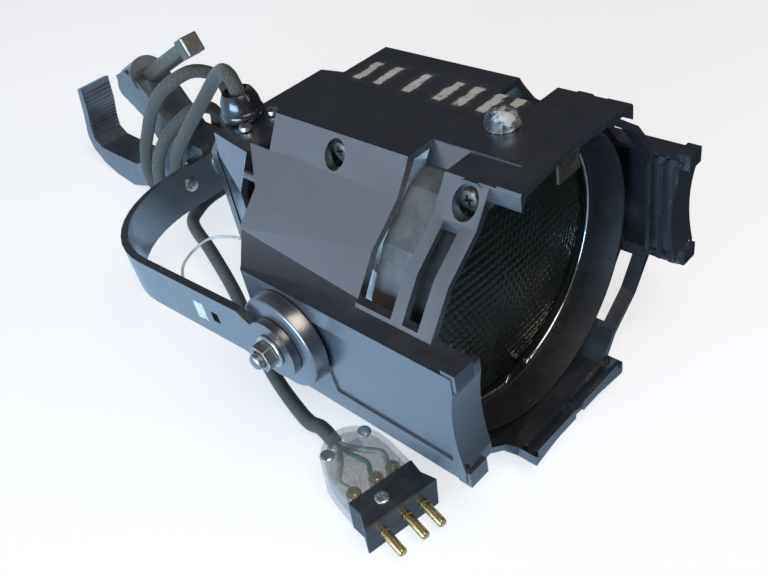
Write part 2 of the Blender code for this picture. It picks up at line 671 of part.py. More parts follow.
def make_near_pivot():
    centre, face, outer = pivot_stack(-1, "left")
    start = centre + face * (outer + 0.3)
    turned("pivot_washer_left", "zinc", start, face, [(0, 5.2), (0, 10.0), (1.6, 10.0), (1.6, 5.2)], 24)
    turned("pivot_nut_left", "zinc", start + face * 1.9, face,
           [(0, 5.8), (0, 8.6), (6.4, 8.6), (6.4, 5.8)], 6, smooth=False)
    rod("pivot_bolt_left", "zinc", centre + face * (DISC_SIDE[1] + 0.3), face, 17.5, 4.7, 16, 0.8)


def make_far_pivot():
    """The far side is hidden in the photograph: a lobed hand knob locks the tilt there."""
    centre, face, outer = pivot_stack(1, "right")
    start = centre + face * (outer + 0.3)
    turned("pivot_washer_right", "zinc", start, face, [(0, 5.2), (0, 10.0), (1.6, 10.0), (1.6, 5.2)], 24)
    rod("pivot_bolt_right", "zinc", centre + face * (DISC_SIDE[1] + 0.3), face, 8.0, 4.7, 16, 0.8)
    hub = start + face * 1.9
    rings = []
    for along, reach in ((0.0, 0.8), (2.0, 1.0), (9.0, 1.0), (10.8, 0.86)):
        ring = []
        for i in range(40):
            angle = 2 * math.pi * i / 40
            radius = (19.0 + 2.2 * math.cos(5 * angle)) * reach
            ring.append(hub + face * along + (BACK * math.cos(angle) + UP * math.sin(angle)) * radius)
        rings.append(ring)
    knob = loft("tilt_knob", "black_plastic", rings, True, origin=hub)
    bore = turned("bore", "black_plastic", centre, face, [(0, 0), (0, 5.2), (135, 5.2), (135, 0)], 16)
    bpy.context.view_layer.update()
    combine(knob, [bore], "DIFFERENCE")


def strap_path():
    """Outer line of the bent strap in (side, back), handle side first."""
    outer = STRAP_INNER + STRAP
    bend_side = outer - YOKE_BEND
    bend_back = YOKE_BACK - YOKE_BEND
    line = [(outer, NOTCH)]
    line += arc((bend_side, bend_back), YOKE_BEND, 0, 90, 12)
    line += [(-side, back) for side, back in reversed(line)]
    return line


def offset_inward(line, gap):
    """Parallel line inside the strap's outer line."""
    outer = STRAP_INNER + STRAP
    inward = []
    bend_side = outer - YOKE_BEND
    bend_back = YOKE_BACK - YOKE_BEND
    for side, back in line:
        if back <= bend_back + 0.01:
            inward.append((math.copysign(abs(side) - gap, side), back))
            continue
        sign = math.copysign(1, side)
        centre = Vector((bend_side, bend_back))
        spoke = Vector((abs(side), back)) - centre
        spoke *= (YOKE_BEND - gap) / YOKE_BEND
        inward.append((sign * (centre.x + spoke.x), centre.y + spoke.y))
    return inward


def strap_middle(back):
    """Height of the strap's middle at a distance behind the tilt axis."""
    return STRAP_START + STRAP_RISE * back / YOKE_BACK


def make_yoke():
    """Flat steel strap bent to a U, with round ends on the tilt axis."""
    outer_line = strap_path()
    inner_line = offset_inward(outer_line, STRAP)
    bm = bmesh.new()
    layers = []
    for line in (outer_line, inner_line):
        for high in (-STRAP_HALF, STRAP_HALF):
            layers.append([bm.verts.new(yoke(side, back, high + strap_middle(back))) for side, back in line])
    out_low, out_high, in_low, in_high = layers
    for i in range(len(outer_line) - 1):
        bm.faces.new((out_low[i], out_low[i + 1], out_high[i + 1], out_high[i]))
        bm.faces.new((in_low[i], in_high[i], in_high[i + 1], in_low[i + 1]))
        bm.faces.new((out_high[i], out_high[i + 1], in_high[i + 1], in_high[i]))
        bm.faces.new((out_low[i], in_low[i], in_low[i + 1], out_low[i + 1]))
    for i in (0, -1):
        bm.faces.new((out_low[i], out_high[i], in_high[i], in_low[i]))
    strap = finish(bm, "yoke", "black_steel")
    ends = []
    for side in (-1, 1):
        across = sorted((side * STRAP_INNER, side * (STRAP_INNER + STRAP)))
        outline = arc((0, 0), STRAP_END, 44, 290, 20)
        rise = strap_middle(NOTCH + 8.0)
        outline += [(NOTCH + 8.0, rise - STRAP_HALF), (NOTCH + 8.0, rise + STRAP_HALF),
                    (NOTCH + 0.2, strap_middle(NOTCH) + STRAP_HALF)]
        ends.append(prism("end", "black_steel", outline, yoke, across))
    combine(strap, ends, "UNION")
    holes = []
    for side in (-1, 1):
        start = yoke(side * (STRAP_INNER - 5), 0, 0)
        holes.append(turned("hole", "black_steel", start, (side, 0, 0), [(0, 0), (0, 5.1), (15, 5.1), (15, 0)], 16))
        holes.append(box("hole", "black_steel", sorted((side * (STRAP_INNER - 4), side * (STRAP_INNER + 9))),
                         SQUARE_HOLE[0], SQUARE_HOLE[1], place=yoke))
    back_direction = yoke_direction(0, 1, 0)
    for side, high, radius in ((0.0, CLAMP_UP, 6.8), (*SCREW_HOLE, 3.4)):
        start = yoke(side, YOKE_BACK - STRAP - 6, high)
        holes.append(turned("hole", "black_steel", start, back_direction,
                            [(0, 0), (0, radius), (20, radius), (20, 0)], 16))
    combine(strap, holes, "DIFFERENCE")
    strap.data.materials.clear()
    strap.data.materials.append(material("black_steel"))
    pivot = lamp(0, 0, PIVOT_UP)
    strap.data.transform(Matrix.Translation(-pivot))
    strap.location = pivot
    return strap


def clamp_place(side, back, high):
    """Clamp points: back from the crossbar's outer face, high from the spigot's axis."""
    return yoke(side, YOKE_BACK + back, high + CLAMP_UP)


def make_clamp():
    """Cast hook clamp that stands on the crossbar and opens upwards."""
    half = CLAMP_WIDE / 2
    origin = clamp_place(0, 0, 0)
    body = prism("clamp_body", "cast_iron", HOOK, clamp_place, (-half, half))
    boss = turned("boss", "cast_iron", clamp_place(0, *bolt_line(BOLT_BOSS)), bolt_direction(),
                  [(0, 0), (0, 15.5), (30, 15.5), (30, 0)], 28)
    combine(body, [boss], "UNION")
    bore = turned("bore", "cast_iron", clamp_place(0, *bolt_line(-40.0)), bolt_direction(),
                  [(0, 0), (0, BOLT_RADIUS + 0.4), (76, BOLT_RADIUS + 0.4), (76, 0)], 20)
    spigot = turned("bore", "cast_iron", clamp_place(0, -8, 0), yoke_direction(0, 1, 0),
                    [(0, 0), (0, 6.8), (34, 6.8), (34, 0)], 16)
    screw = turned("bore", "cast_iron", clamp_place(-half - 8, 13.0, 0), (1, 0, 0),
                   [(0, 0), (0, 4.4), (18, 4.4), (18, 0)], 12)
    combine(body, [bore, spigot, screw], "DIFFERENCE")
    body.data.materials.clear()
    body.data.materials.append(material("cast_iron"))
    body.data.transform(Matrix.Translation(-origin))
    body.location = origin


def bolt_line(along):
    """Point on the pipe bolt's axis, along from the middle of its boss towards the tip."""
    return (75.1 + along * math.cos(BOLT_SLOPE), 55.2 - along * math.sin(BOLT_SLOPE))


def bolt_direction():
    return (clamp_place(0, *bolt_line(10.0)) - clamp_place(0, *bolt_line(0.0))).normalized()


def make_pipe_bolt():
    """Square-head bolt that grips the pipe against the hook."""
    start = clamp_place(0, *bolt_line(BOLT_HEAD))
    direction = bolt_direction()
    shank = turned("pipe_bolt", "worn_steel", start, direction,
                   [(8, 0), (8, BOLT_RADIUS), (BOLT_LONG - 6, BOLT_RADIUS), (BOLT_LONG - 2, 3.6),
                    (BOLT_LONG, 0)], 20)
    head = turned("head", "worn_steel", start, direction,
                  [(-3, 0), (-3, 8.6), (-2, 9.8), (8.5, 9.8), (9.5, 9.0), (9.5, 0)], 4, smooth=False,
                  phase=math.pi / 4)
    combine(shank, [head], "UNION")
    shank.data.materials.clear()
    shank.data.materials.append(material("worn_steel"))
    shank.data.transform(Matrix.Translation(-start))
    shank.location = start


def make_spigot():
    """Bolt from inside the crossbar into the clamp, with its washer and set screw."""
    direction = yoke_direction(0, 1, 0)
    rod("spigot_bolt", "worn_steel", clamp_place(0, -STRAP + 0.2, 0), direction, 24.0, 6.2, 20, 0.6)
    head_start = clamp_place(0, -STRAP - 9.4, 0)
    turned("spigot_head", "zinc", head_start, direction,
           [(0, 0), (0, 9.5), (1, 10.6), (7, 10.6), (7, 0)], 6, smooth=False)
    turned("spigot_washer", "zinc", clamp_place(0, -STRAP - 2.1, 0), direction,
           [(0, 0), (0, 13.0), (1.8, 13.0), (1.8, 0)], 24)
    start = clamp_place(-CLAMP_WIDE / 2 - 5.0, 13.0, 0)
    screw = turned("clamp_set_screw", "zinc", start, (1, 0, 0),
                   [(5, 0), (5, 4.0), (11.9, 4.0), (12.3, 3.4), (12.3, 0)], 12)
    head = turned("head", "zinc", start, (1, 0, 0),
                  [(-3, 0), (-3, 6.6), (4.7, 6.6), (5.5, 0)], 4, smooth=False, phase=math.pi / 4)
    combine(screw, [head], "UNION")
    screw.data.materials.clear()
    screw.data.materials.append(material("zinc"))
    screw.data.transform(Matrix.Translation(-start))
    screw.location = start


def make_yoke_screw():
    """Small bright screw in the crossbar's second hole."""
    start = yoke(SCREW_HOLE[0], YOKE_BACK - STRAP - 3.2, SCREW_HOLE[1])
    turned("yoke_screw", "zinc", start, yoke_direction(0, 1, 0),
           [(0, 0), (0, 4.2), (1.2, 5.4), (2.9, 5.4), (2.9, 3.0), (8.0, 3.0), (8.0, 0)], 16)


PLUG_AT = Vector((-115.5, 68.9))       # side and ahead of the middle of the plug's front block


def plug(side, ahead, up):
    """Place on the plug: side across it, ahead towards its pins, up from the floor."""
    across = side * math.cos(PLUG_TURN) - ahead * math.sin(PLUG_TURN)
    along = side * math.sin(PLUG_TURN) + ahead * math.cos(PLUG_TURN)
    return Vector((PLUG_AT.x + across, TILT_Y - PLUG_AT.y - along, up))


def plug_shell_outline(inset):
    """Outline of the clear cover: round at the cord end, straight at the block."""
    wide = PLUG_WIDE / 2 - inset
    bend_from = -10.3 - 0.4 * PLUG_LONG
    reach = 0.6 * PLUG_LONG - inset
    points = [(x * wide, bend_from - y * reach) for x, y in arc((0, 0), 1.0, 0, 180, 10)]
    return [(wide, -10.3)] + points + [(-wide, -10.3)]


def make_plug():
    """Stage-pin plug: clear cover, black block, three pins and their terminals."""
    outline = plug_shell_outline(0.0)
    rings = [[plug(side, ahead, up) for side, ahead in outline] for up in (0.4, PLUG_THICK)]
    cover = loft("plug_cover", "clear_plastic", rings)
    inner = plug_shell_outline(2.4)
    inner = [(side, ahead + 3.0 if ahead > -11 else ahead) for side, ahead in inner]
    rings = [[plug(side, ahead, up) for side, ahead in inner] for up in (2.8, PLUG_THICK - 2.4)]
    combine(cover, [loft("hollow", "clear_plastic", rings)], "DIFFERENCE")
    entry = turned("entry", "clear_plastic", plug(0, -13.0 - PLUG_LONG, PLUG_THICK / 2), plug(0, 1, 0) - plug(0, 0, 0),
                   [(0, 0), (0, 5.2), (12, 5.2), (12, 0)], 16)
    combine(cover, [entry], "DIFFERENCE")
    rear, front = PLUG_WIDE / 2 + 0.5, PLUG_FLARE / 2
    waist = [(rear, -10.0), (rear - 1.0, 0.0), (front, 10.0), (-front, 10.0), (1.0 - rear, 0.0), (-rear, -10.0)]
    rings = [[plug(side, ahead, up) for side, ahead in waist] for up in (0.4, PLUG_THICK + 0.6)]
    loft("plug_block", "black_plastic", rings)
    forward = (plug(0, 1, 0) - plug(0, 0, 0)).normalized()
    for index, (side, length) in enumerate(((-13.8, 18.0), (2.2, 18.0), (14.2, 18.0))):
        start = plug(side, 10.3, PLUG_THICK / 2)
        rod("plug_pin_%d" % (index + 1), "brass", start, forward, length, PIN_RADIUS, 16, 1.0)
        low = plug(side, -18.0, PLUG_THICK / 2)
        turned("plug_terminal_%d" % (index + 1), "brass", low - Vector((0, 0, 4)), (0, 0, 1),
               [(0, 0), (0, 4.6), (9, 4.6), (9, 3.4), (11.5, 3.4), (11.5, 0)], 14)
    for index, side in enumerate((-13.5, 13.5)):
        start = plug(side, -44.0, PLUG_THICK + 0.3)
        turned("plug_cover_screw_%d" % (index + 1), "zinc", start, (0, 0, 1),
               [(0, 0), (0, 4.4), (1.2, 4.0), (1.6, 0)], 14)
    turned("plug_block_screw", "zinc", plug(-6.0, 0.0, PLUG_THICK + 0.9), (0, 0, 1),
           [(0, 0), (0, 4.2), (1.0, 3.8), (1.4, 0)], 14)


def cord_points():
    """Run of the lead: cap, round the clamp's stem, looped over itself and down to the plug."""
    leaves = lamp(*GLAND_PLACE, GLAND_UP + GLAND_HIGH - 3.4)
    down_to_stem = [(-23.6, -122.3, 86), (-22, -128, 91.5), (-18, -141, 90), (-15, -156, 81), (-14, -173, 67),
                    (-17, -194, 46), (-21, -216, 23), (-22, -237, -1), (-22, -250, -30)]
    round_stem = [(-9, -254, -53), (9, -254, -53), (22, -250, -29), (22, -239, 3), (18, -229, 24), (1, -227, 33),
                  (-20, -237, 21), (-30, -249, 1), (-31, -261, -25)]
    back_up = [(-27, -275, -42), (-24, -288, -28), (-24, -279, -4), (-24, -261, 20), (-24, -240, 44),
               (-19, -220, 62), (-2, -208, 69), (14, -203, 59), (21, -207, 39)]
    to_floor = [(22.5, -223.5, 15), (22.5, -225, -9), (17, -225, -30), (4, -224, -36), (-14, -222, -36),
                (-28, -218, -37), (-40, -211, -41), (-50, -178, -49), (-60, -145, -66), (-76, -109, -75),
                (-91, -70, -85), (-103, -27, -87)]
    run = [leaves] + [lamp(*place) for place in down_to_stem + round_stem + back_up + to_floor]
    enters = -10.3 - PLUG_LONG - 0.4
    return run + [plug(0, enters - 15.0, PLUG_THICK / 2), plug(0, enters, PLUG_THICK / 2)]


def smooth_run(points, spacing):
    """Points at even spacing on a smooth curve through the given ones."""
    dense = []
    count = len(points)
    for i in range(count - 1):
        before = points[max(i - 1, 0)]
        after = points[min(i + 2, count - 1)]
        for step in range(12):
            t = step / 12
            a, b = points[i], points[i + 1]
            dense.append(0.5 * ((2 * a) + (b - before) * t + (2 * before - 5 * a + 4 * b - after) * t * t
                                + (3 * a - before - 3 * b + after) * t ** 3))
    dense.append(points[-1])
    kept = [dense[0]]
    travelled = 0.0
    for previous, place in zip(dense, dense[1:]):
        travelled += (place - previous).length
        if travelled >= spacing:
            kept.append(place)
            travelled = 0.0
    kept[-1] = dense[-1]
    return kept


def tube(name, slot, points, radius, resolution=2):
    curve = bpy.data.curves.new(name, "CURVE")
    curve.dimensions = "3D"
    curve.bevel_depth = radius
    curve.bevel_resolution = resolution
    curve.render_resolution_u = 0
    curve.use_fill_caps = True
    spline = curve.splines.new("POLY")
    spline.points.add(len(points) - 1)
    for target, place in zip(spline.points, points):
        target.co = (*place, 1.0)
    curve.materials.append(material(slot))
    obj = bpy.data.objects.new(name, curve)
    bpy.context.scene.collection.objects.link(obj)
    return obj


def make_cord():
    tube("power_lead", "braided_sleeve", smooth_run(cord_points(), CORD_SPACING), CORD_RADIUS, 2)


def make_tie():
    """Pale cable tie round the handle-side strap, its tail arched towards the barrel."""
    tail = [yoke(-STRAP_INNER + 2.5, 92, -4), yoke(-STRAP_INNER + 14, 110, 8), yoke(-STRAP_INNER + 34, 108, 16),
            yoke(-STRAP_INNER + 46, 96, 15), yoke(-STRAP_INNER + 52, 84, 10)]
    tube("cable_tie", "pale_plastic", smooth_run(tail, 6), 0.9, 1)


def turn_to_metres():
    """Shrink everything built in millimetres to metres."""
    for obj in bpy.data.objects:
        obj.location *= 0.001
        if obj.type == "MESH":
            obj.data.transform(Matrix.Scale(0.001, 4))
            continue
        obj.data.bevel_depth *= 0.001
        for point in obj.data.splines[0].points:
            point.co = (point.co.x * 0.001, point.co.y * 0.001, point.co.z * 0.001, 1.0)


def build():
    clear_scene()
    make_housing()
    make_housing_screws()
    make_seam_knob()
    make_frame_latch()
    make_baffle()
    make_reflector()
    make_lens_ring()
    make_lens()
    make_wire_ring("lens_wire", LENS_AHEAD + 8.8, LENS_RADIUS + 0.2, 1.5)
    make_rear_cap()
    make_rear_frame()
    make_cap_struts()
    make_lamp()
    make_cap_screws()
    make_cord_gland()
    make_near_pivot()
    make_far_pivot()
    make_yoke()
    make_yoke_screw()
    make_clamp()
    make_pipe_bolt()
    make_spigot()
    make_plug()
    make_cord()
    make_tie()
    turn_to_metres()


build()
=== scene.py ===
"""Studio scene for the par light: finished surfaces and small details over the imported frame.

Places are in millimetres and turned into metres where a piece is made. Lamp places are
(side, ahead, up): side from the lens axis, ahead of the tilt axis towards the lens, up from
the lens axis. The whole lantern leans back a little, as it stands on the floor.
"""
import math

import bmesh
import bpy
from mathutils import Matrix, Vector


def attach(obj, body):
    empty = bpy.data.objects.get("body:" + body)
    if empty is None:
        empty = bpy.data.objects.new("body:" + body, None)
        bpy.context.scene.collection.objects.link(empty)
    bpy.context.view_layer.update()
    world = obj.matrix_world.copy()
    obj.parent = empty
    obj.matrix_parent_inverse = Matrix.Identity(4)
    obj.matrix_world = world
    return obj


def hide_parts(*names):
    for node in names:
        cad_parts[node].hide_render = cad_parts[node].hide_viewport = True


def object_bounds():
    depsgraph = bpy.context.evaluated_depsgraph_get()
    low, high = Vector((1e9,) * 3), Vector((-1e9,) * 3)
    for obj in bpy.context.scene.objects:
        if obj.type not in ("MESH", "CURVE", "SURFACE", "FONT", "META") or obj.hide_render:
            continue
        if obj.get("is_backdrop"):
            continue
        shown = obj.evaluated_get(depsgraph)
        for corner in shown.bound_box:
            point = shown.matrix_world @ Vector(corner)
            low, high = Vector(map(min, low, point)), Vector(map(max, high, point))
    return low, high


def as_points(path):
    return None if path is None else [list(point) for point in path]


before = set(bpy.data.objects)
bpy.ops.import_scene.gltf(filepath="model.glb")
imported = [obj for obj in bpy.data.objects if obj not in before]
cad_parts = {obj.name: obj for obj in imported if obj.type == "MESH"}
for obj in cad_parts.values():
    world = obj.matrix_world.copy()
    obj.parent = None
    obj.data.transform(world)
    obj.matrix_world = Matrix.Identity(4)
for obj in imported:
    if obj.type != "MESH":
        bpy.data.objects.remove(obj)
cad_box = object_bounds()
scene = bpy.context.scene

MM = 0.001
PER_METRE = 1000.0
LEANING = Matrix.Rotation(math.radians(-5.95077), 3, "X")
TILT_AXIS = Vector((0, -138.4, 99.5892))
PIVOT_UP = 4.5              # tilt axis above the lens axis
YOKE_DROP = math.radians(5.0)
YOKE_BACK = 208.0           # tilt axis to the back of the yoke's crossbar
STRAP = 5.0
STRAP_OUTER = 124.8         # lens axis to the outer face of a yoke arm
CLAMP_UP = 10.5
PLATE_UP = 94.5             # top plate above the lens axis
LENS_RADIUS = 84.0
LENS_AHEAD = 51.5
CORD_RADIUS = 4.9
PLUG_TURN = math.radians(10.0)
PLUG_AT = Vector((-115.5, 68.9))
PLUG_THICK = 25.0
PLUG_MIDDLE = PLUG_THICK / 2
CONTACT_SIDES = (-13.8, 2.2, 14.2)

AHEAD = LEANING @ Vector((0, -1, 0))
UP = LEANING @ Vector((0, 0, 1))


def lamp(side, ahead, up):
    """World place in metres of a point on the lamp."""
    return (TILT_AXIS + LEANING @ Vector((side, -ahead, up))) * MM


def yoke(side, back, high):
    """World place in metres of a point measured from the tilt axis along the yoke's arms."""
    drop = Matrix.Rotation(-YOKE_DROP, 3, "X")
    place = drop @ Vector((side, back, high)) + Vector((0, 0, PIVOT_UP))
    return (TILT_AXIS + LEANING @ place) * MM


def clamp_place(side, back, high):
    """World place in metres of a point on the clamp, measured from the crossbar's back."""
    return yoke(side, YOKE_BACK + back, high + CLAMP_UP)


def plug(side, ahead, up):
    """World place in metres of a point on the plug, which lies on the floor."""
    across = side * math.cos(PLUG_TURN) - ahead * math.sin(PLUG_TURN)
    along = side * math.sin(PLUG_TURN) + ahead * math.cos(PLUG_TURN)
    return Vector((PLUG_AT.x + across, TILT_AXIS.y - PLUG_AT.y - along, up)) * MM


YOKE_ALONG = (yoke(0, 1, 0) - yoke(0, 0, 0)).normalized()
PLUG_AHEAD = (plug(0, 1, 0) - plug(0, 0, 0)).normalized()

CAMERA_PLACE = (-0.2920, -0.4182, 0.4353)
CAMERA_ANGLES = (46.9646, 5.2856, -47.0624)
CAMERA_LENS = 40.2
CAMERA_SENSOR = 36.0


def add_camera():
    data = bpy.data.cameras.new("camera")
    data.lens = CAMERA_LENS
    data.sensor_width = CAMERA_SENSOR
    data.clip_start = 0.01
    camera = bpy.data.objects.new("camera", data)
    camera.location = CAMERA_PLACE
    camera.rotation_euler = [math.radians(angle) for angle in CAMERA_ANGLES]
    scene.collection.objects.link(camera)
    scene.camera = camera


# materials

class Nodes:
    """Short calls that add nodes to a node tree and link them."""

    def __init__(self, tree):
        self.tree = tree

    def feed(self, target, value):
        """Set a socket, or link it where the value is another node's output."""
        if isinstance(value, bpy.types.NodeSocket):
            self.tree.links.new(value, target)
        else:
            target.default_value = value

    def node(self, kind, **inputs):
        made = self.tree.nodes.new(kind)
        for name, value in inputs.items():
            self.feed(made.inputs[name.replace("_", " ")], value)
        return made

    def between(self, value, low, high, start=0.0, end=1.0, way="LINEAR"):
        """Value as a share of the way from low to high, held to the range, then start to end."""
        made = self.node("ShaderNodeMapRange", Value=value, From_Min=low, From_Max=high, To_Min=start,
                         To_Max=end)
        made.interpolation_type = way
        made.clamp = True
        return made.outputs["Result"]

    def maths(self, operation, first, second=0.0):
        made = self.tree.nodes.new("ShaderNodeMath")
        made.operation = operation
        self.feed(made.inputs[0], first)
        self.feed(made.inputs[1], second)
        return made.outputs[0]

    def share(self, first, second):
        """One value's share of another."""
        return self.maths("MULTIPLY", first, second)

    def vector_maths(self, operation, first, second):
        made = self.tree.nodes.new("ShaderNodeVectorMath")
        made.operation = operation
        self.feed(made.inputs[0], first)
        self.feed(made.inputs[1], second)
        return made.outputs

    def mixed(self, share, first, second):
        """Colour mixed from first to second by a share."""
        made = self.tree.nodes.new("ShaderNodeMix")
        made.data_type = "RGBA"
        self.feed(made.inputs[0], share)
        for index, colour in ((6, first), (7, second)):
            linked = isinstance(colour, bpy.types.NodeSocket)
            self.feed(made.inputs[index], colour if linked else (*colour, 1.0))
        return made.outputs[2]

    def over(self, colour, other, where, most):
        """Colour with up to most of another one laid over it where there is some of it."""
        return self.mixed(self.share(where, most), colour, other)

    def band(self, value, low, high, soft):
        """1 where value lies between low and high, falling to 0 over soft at each side."""
        rising = self.between(value, low - soft, low + soft)
        falling = self.between(value, high - soft, high + soft, 1.0, 0.0)
        return self.share(rising, falling)

    def mixed_shader(self, share, first, second):
        """Shader mixed from first to second by a share."""
        made = self.tree.nodes.new("ShaderNodeMixShader")
        for socket, value in zip(made.inputs, (share, first, second)):
            self.tree.links.new(value, socket)
        return made.outputs[0]


class Paint(Nodes):
    """A node material with short calls for the textures that the finishes share."""

    def __init__(self, name, colour, roughness, metallic=0.0, **sockets):
        self.material = bpy.data.materials.new(name)
        self.material.use_nodes = True
        super().__init__(self.material.node_tree)
        self.shader = self.tree.nodes["Principled BSDF"]
        self.put("Base Color", (*colour, 1.0))
        self.put("Roughness", roughness)
        self.put("Metallic", metallic)
        for socket, value in sockets.items():
            self.put(socket.replace("_", " "), value)
        self.place = self.tree.nodes.new("ShaderNodeTexCoord").outputs["Object"]
        self.height = None

    def put(self, socket, value):
        self.feed(self.shader.inputs[socket], value)

    def stretched(self, across, turn):
        """Object coordinates turned and scaled by a different amount each way."""
        mapping = self.node("ShaderNodeMapping", Vector=self.place, Scale=across, Rotation=turn)
        return mapping.outputs["Vector"]

    def noise(self, size, detail=4.0, roughness=0.5):
        """Noise whose larger lumps are about size millimetres apart."""
        made = self.node("ShaderNodeTexNoise", Vector=self.place, Scale=PER_METRE / size,
                         Detail=detail, Roughness=roughness)
        return made.outputs["Fac"]

    def cells(self, size, feature="F1", place=None):
        made = self.node("ShaderNodeTexVoronoi", Vector=place or self.place, Scale=PER_METRE / size)
        made.feature = feature
        return made.outputs["Distance"]

    def patches(self, low, high, *noise):
        """0 where noise is under low, 1 where it is over high."""
        return self.between(self.noise(*noise), low, high)

    def wander(self, socket, low, high, *noise):
        """Let a shader socket's value wander from low to high in patches."""
        self.put(socket, self.between(self.noise(*noise), 0.3, 0.7, low, high))

    def facing_up(self):
        """How far the surface looks upwards, from 0 to 1."""
        normal = self.tree.nodes.new("ShaderNodeNewGeometry").outputs["Normal"]
        split = self.node("ShaderNodeSeparateXYZ", Vector=normal)
        return self.between(split.outputs["Z"], 0.1, 0.9)

    def axis(self, direction, start=(0, 0, 0)):
        """Distance in millimetres along a world direction from a place."""
        shifted = self.vector_maths("SUBTRACT", self.place, start)[0]
        return self.vector_maths("DOT_PRODUCT", shifted, Vector(direction) * PER_METRE)["Value"]

    def bump(self, height, distance, strength=1.0):
        """Add relief of about distance millimetres from a height from 0 to 1."""
        made = self.node("ShaderNodeBump", Height=height, Distance=distance * MM, Strength=strength)
        if self.height:
            self.tree.links.new(self.height, made.inputs["Normal"])
        self.height = made.outputs["Normal"]
        self.tree.links.new(self.height, self.shader.inputs["Normal"])

    def scratches(self, turn, rare):
        """Thin broken lines in one direction; rare from 0 to 1 leaves fewer of them."""
        long_way = self.stretched((1.0, 1.0, 38.0), turn)
        line = self.cells(26.0, "DISTANCE_TO_EDGE", long_way)
        thin = self.between(line, 0.0, 0.012, 1.0, 0.0)
        broken = self.patches(rare, rare + 0.06, 34.0, 3.0, 0.6)
        return self.share(thin, broken)


def satin_black(name, tint, wear, paint_marks=False):
    """Satin black paint: orange peel, dust that lies on top, scratches and rubbed edges."""
    dust = (0.16, 0.13, 0.11)
    speck = (0.30, 0.29, 0.28)
    scratch = (0.22, 0.22, 0.24)
    bare = (0.26, 0.26, 0.26)
    paint = Paint(name, tint, 0.34, Specular_IOR_Level=1.0, Coat_Weight=1.0, Coat_Roughness=0.24,
                  Coat_IOR=2.5)
    patch = paint.patches(0.35, 0.7, 55.0, 5.0, 0.6)
    lighter = [channel * 1.3 for channel in tint]
    colour = paint.mixed(patch, tint, lighter)
    dusty = paint.share(paint.facing_up(), paint.patches(0.4, 0.75, 18.0, 6.0, 0.7))
    colour = paint.over(colour, dust, dusty, 0.06)
    specks = paint.share(paint.between(paint.cells(4.2), 0.0, 0.085, 1.0, 0.0),
                         paint.patches(0.52, 0.60, 23.0, 2.0))
    colour = paint.over(colour, speck, specks, 0.45)
    first = paint.scratches((0.4, 0.9, 0.2), 0.60)
    second = paint.scratches((1.1, -0.5, 0.7), 0.63)
    marks = paint.maths("MAXIMUM", first, second)
    colour = paint.over(colour, scratch, marks, 0.22)
    if wear > 0:
        rubbed = paint.patches(0.66 - 0.2 * wear, 0.74, 7.0, 6.0, 0.72)
        colour = paint.over(colour, bare, rubbed, 0.6)
    if paint_marks:
        colour = white_bars(paint, colour)
    paint.put("Base Color", colour)
    paint.wander("Roughness", 0.3, 0.42, 9.0, 5.0, 0.65)
    paint.wander("Coat Roughness", 0.18, 0.32, 14.0, 5.0, 0.65)
    paint.bump(paint.noise(1.3, 2.0), 0.05, 0.5)
    paint.bump(marks, 0.04, 0.5)
    return paint.material


BAR_PLACES = (-44.0, -28.0, -6.0, 17.0, 31.0, 47.0, 59.0)
BAR_WIDE = 6.0
BAR_START = 6.0          # from the seam to each end of a bar
BAR_END = 27.0
BAR_WHITE = (0.82, 0.80, 0.74)


def white_bars(paint, colour):
    """Plain bars of old white spray paint on the top plate, with rubbed and misted edges."""
    origin = lamp(0, 0, 0)
    ahead = paint.axis(AHEAD, origin)
    side = paint.axis((1, 0, 0), origin)
    up = paint.axis(UP, origin)
    wobble = paint.between(paint.noise(6.0, 3.0), 0.3, 0.7, -1.0, 1.0)
    ahead = paint.maths("ADD", ahead, wobble)
    bars = None
    mist = None
    for place in BAR_PLACES:
        bar = paint.band(ahead, place, place + BAR_WIDE, 0.6)
        haze = paint.band(ahead, place - 1.5, place + BAR_WIDE + 1.5, 3.5)
        bars = bar if bars is None else paint.maths("MAXIMUM", bars, bar)
        mist = haze if mist is None else paint.maths("MAXIMUM", mist, haze)
    on_top = paint.between(up, PLATE_UP - 2.5, PLATE_UP - 1.0)
    reach = paint.band(side, BAR_START, BAR_END, 0.7)
    soft_reach = paint.band(side, BAR_START - 1.0, BAR_END + 2.0, 4.0)
    kept = paint.patches(0.33, 0.45, 4.5, 6.0, 0.75)
    grainy = paint.patches(0.42, 0.62, 1.2, 4.0, 0.8)
    full = paint.share(paint.share(bars, reach), kept)
    thin = paint.share(paint.share(mist, soft_reach), grainy)
    share = paint.maths("MAXIMUM", full, paint.share(thin, 0.16))
    return paint.mixed(paint.share(share, on_top), colour, BAR_WHITE)


def cast_iron():
    """Painted rough casting, pitted, with dust on top and paint rubbed off here and there."""
    dark = (0.022, 0.024, 0.030)
    light = (0.060, 0.064, 0.074)
    bare = (0.28, 0.27, 0.26)
    dust = (0.26, 0.23, 0.19)
    paint = Paint("cast_iron_finish", (0.035, 0.038, 0.045), 0.5, Specular_IOR_Level=1.0,
                  Coat_Weight=0.8, Coat_Roughness=0.3, Coat_IOR=1.9)
    pits = paint.noise(3.2, 6.0, 0.7)
    colour = paint.mixed(paint.patches(0.4, 0.7, 16.0, 5.0, 0.65), dark, light)
    rubbed = paint.patches(0.64, 0.74, 5.0, 6.0, 0.75)
    colour = paint.over(colour, bare, rubbed, 0.5)
    dusty = paint.share(paint.facing_up(), paint.patches(0.5, 0.8, 11.0, 5.0, 0.7))
    colour = paint.over(colour, dust, dusty, 0.25)
    paint.put("Base Color", colour)
    paint.put("Roughness", paint.between(pits, 0.3, 0.7, 0.42, 0.75))
    paint.bump(pits, 0.5, 0.8)
    paint.bump(paint.noise(0.9, 3.0), 0.12, 0.6)
    return paint.material


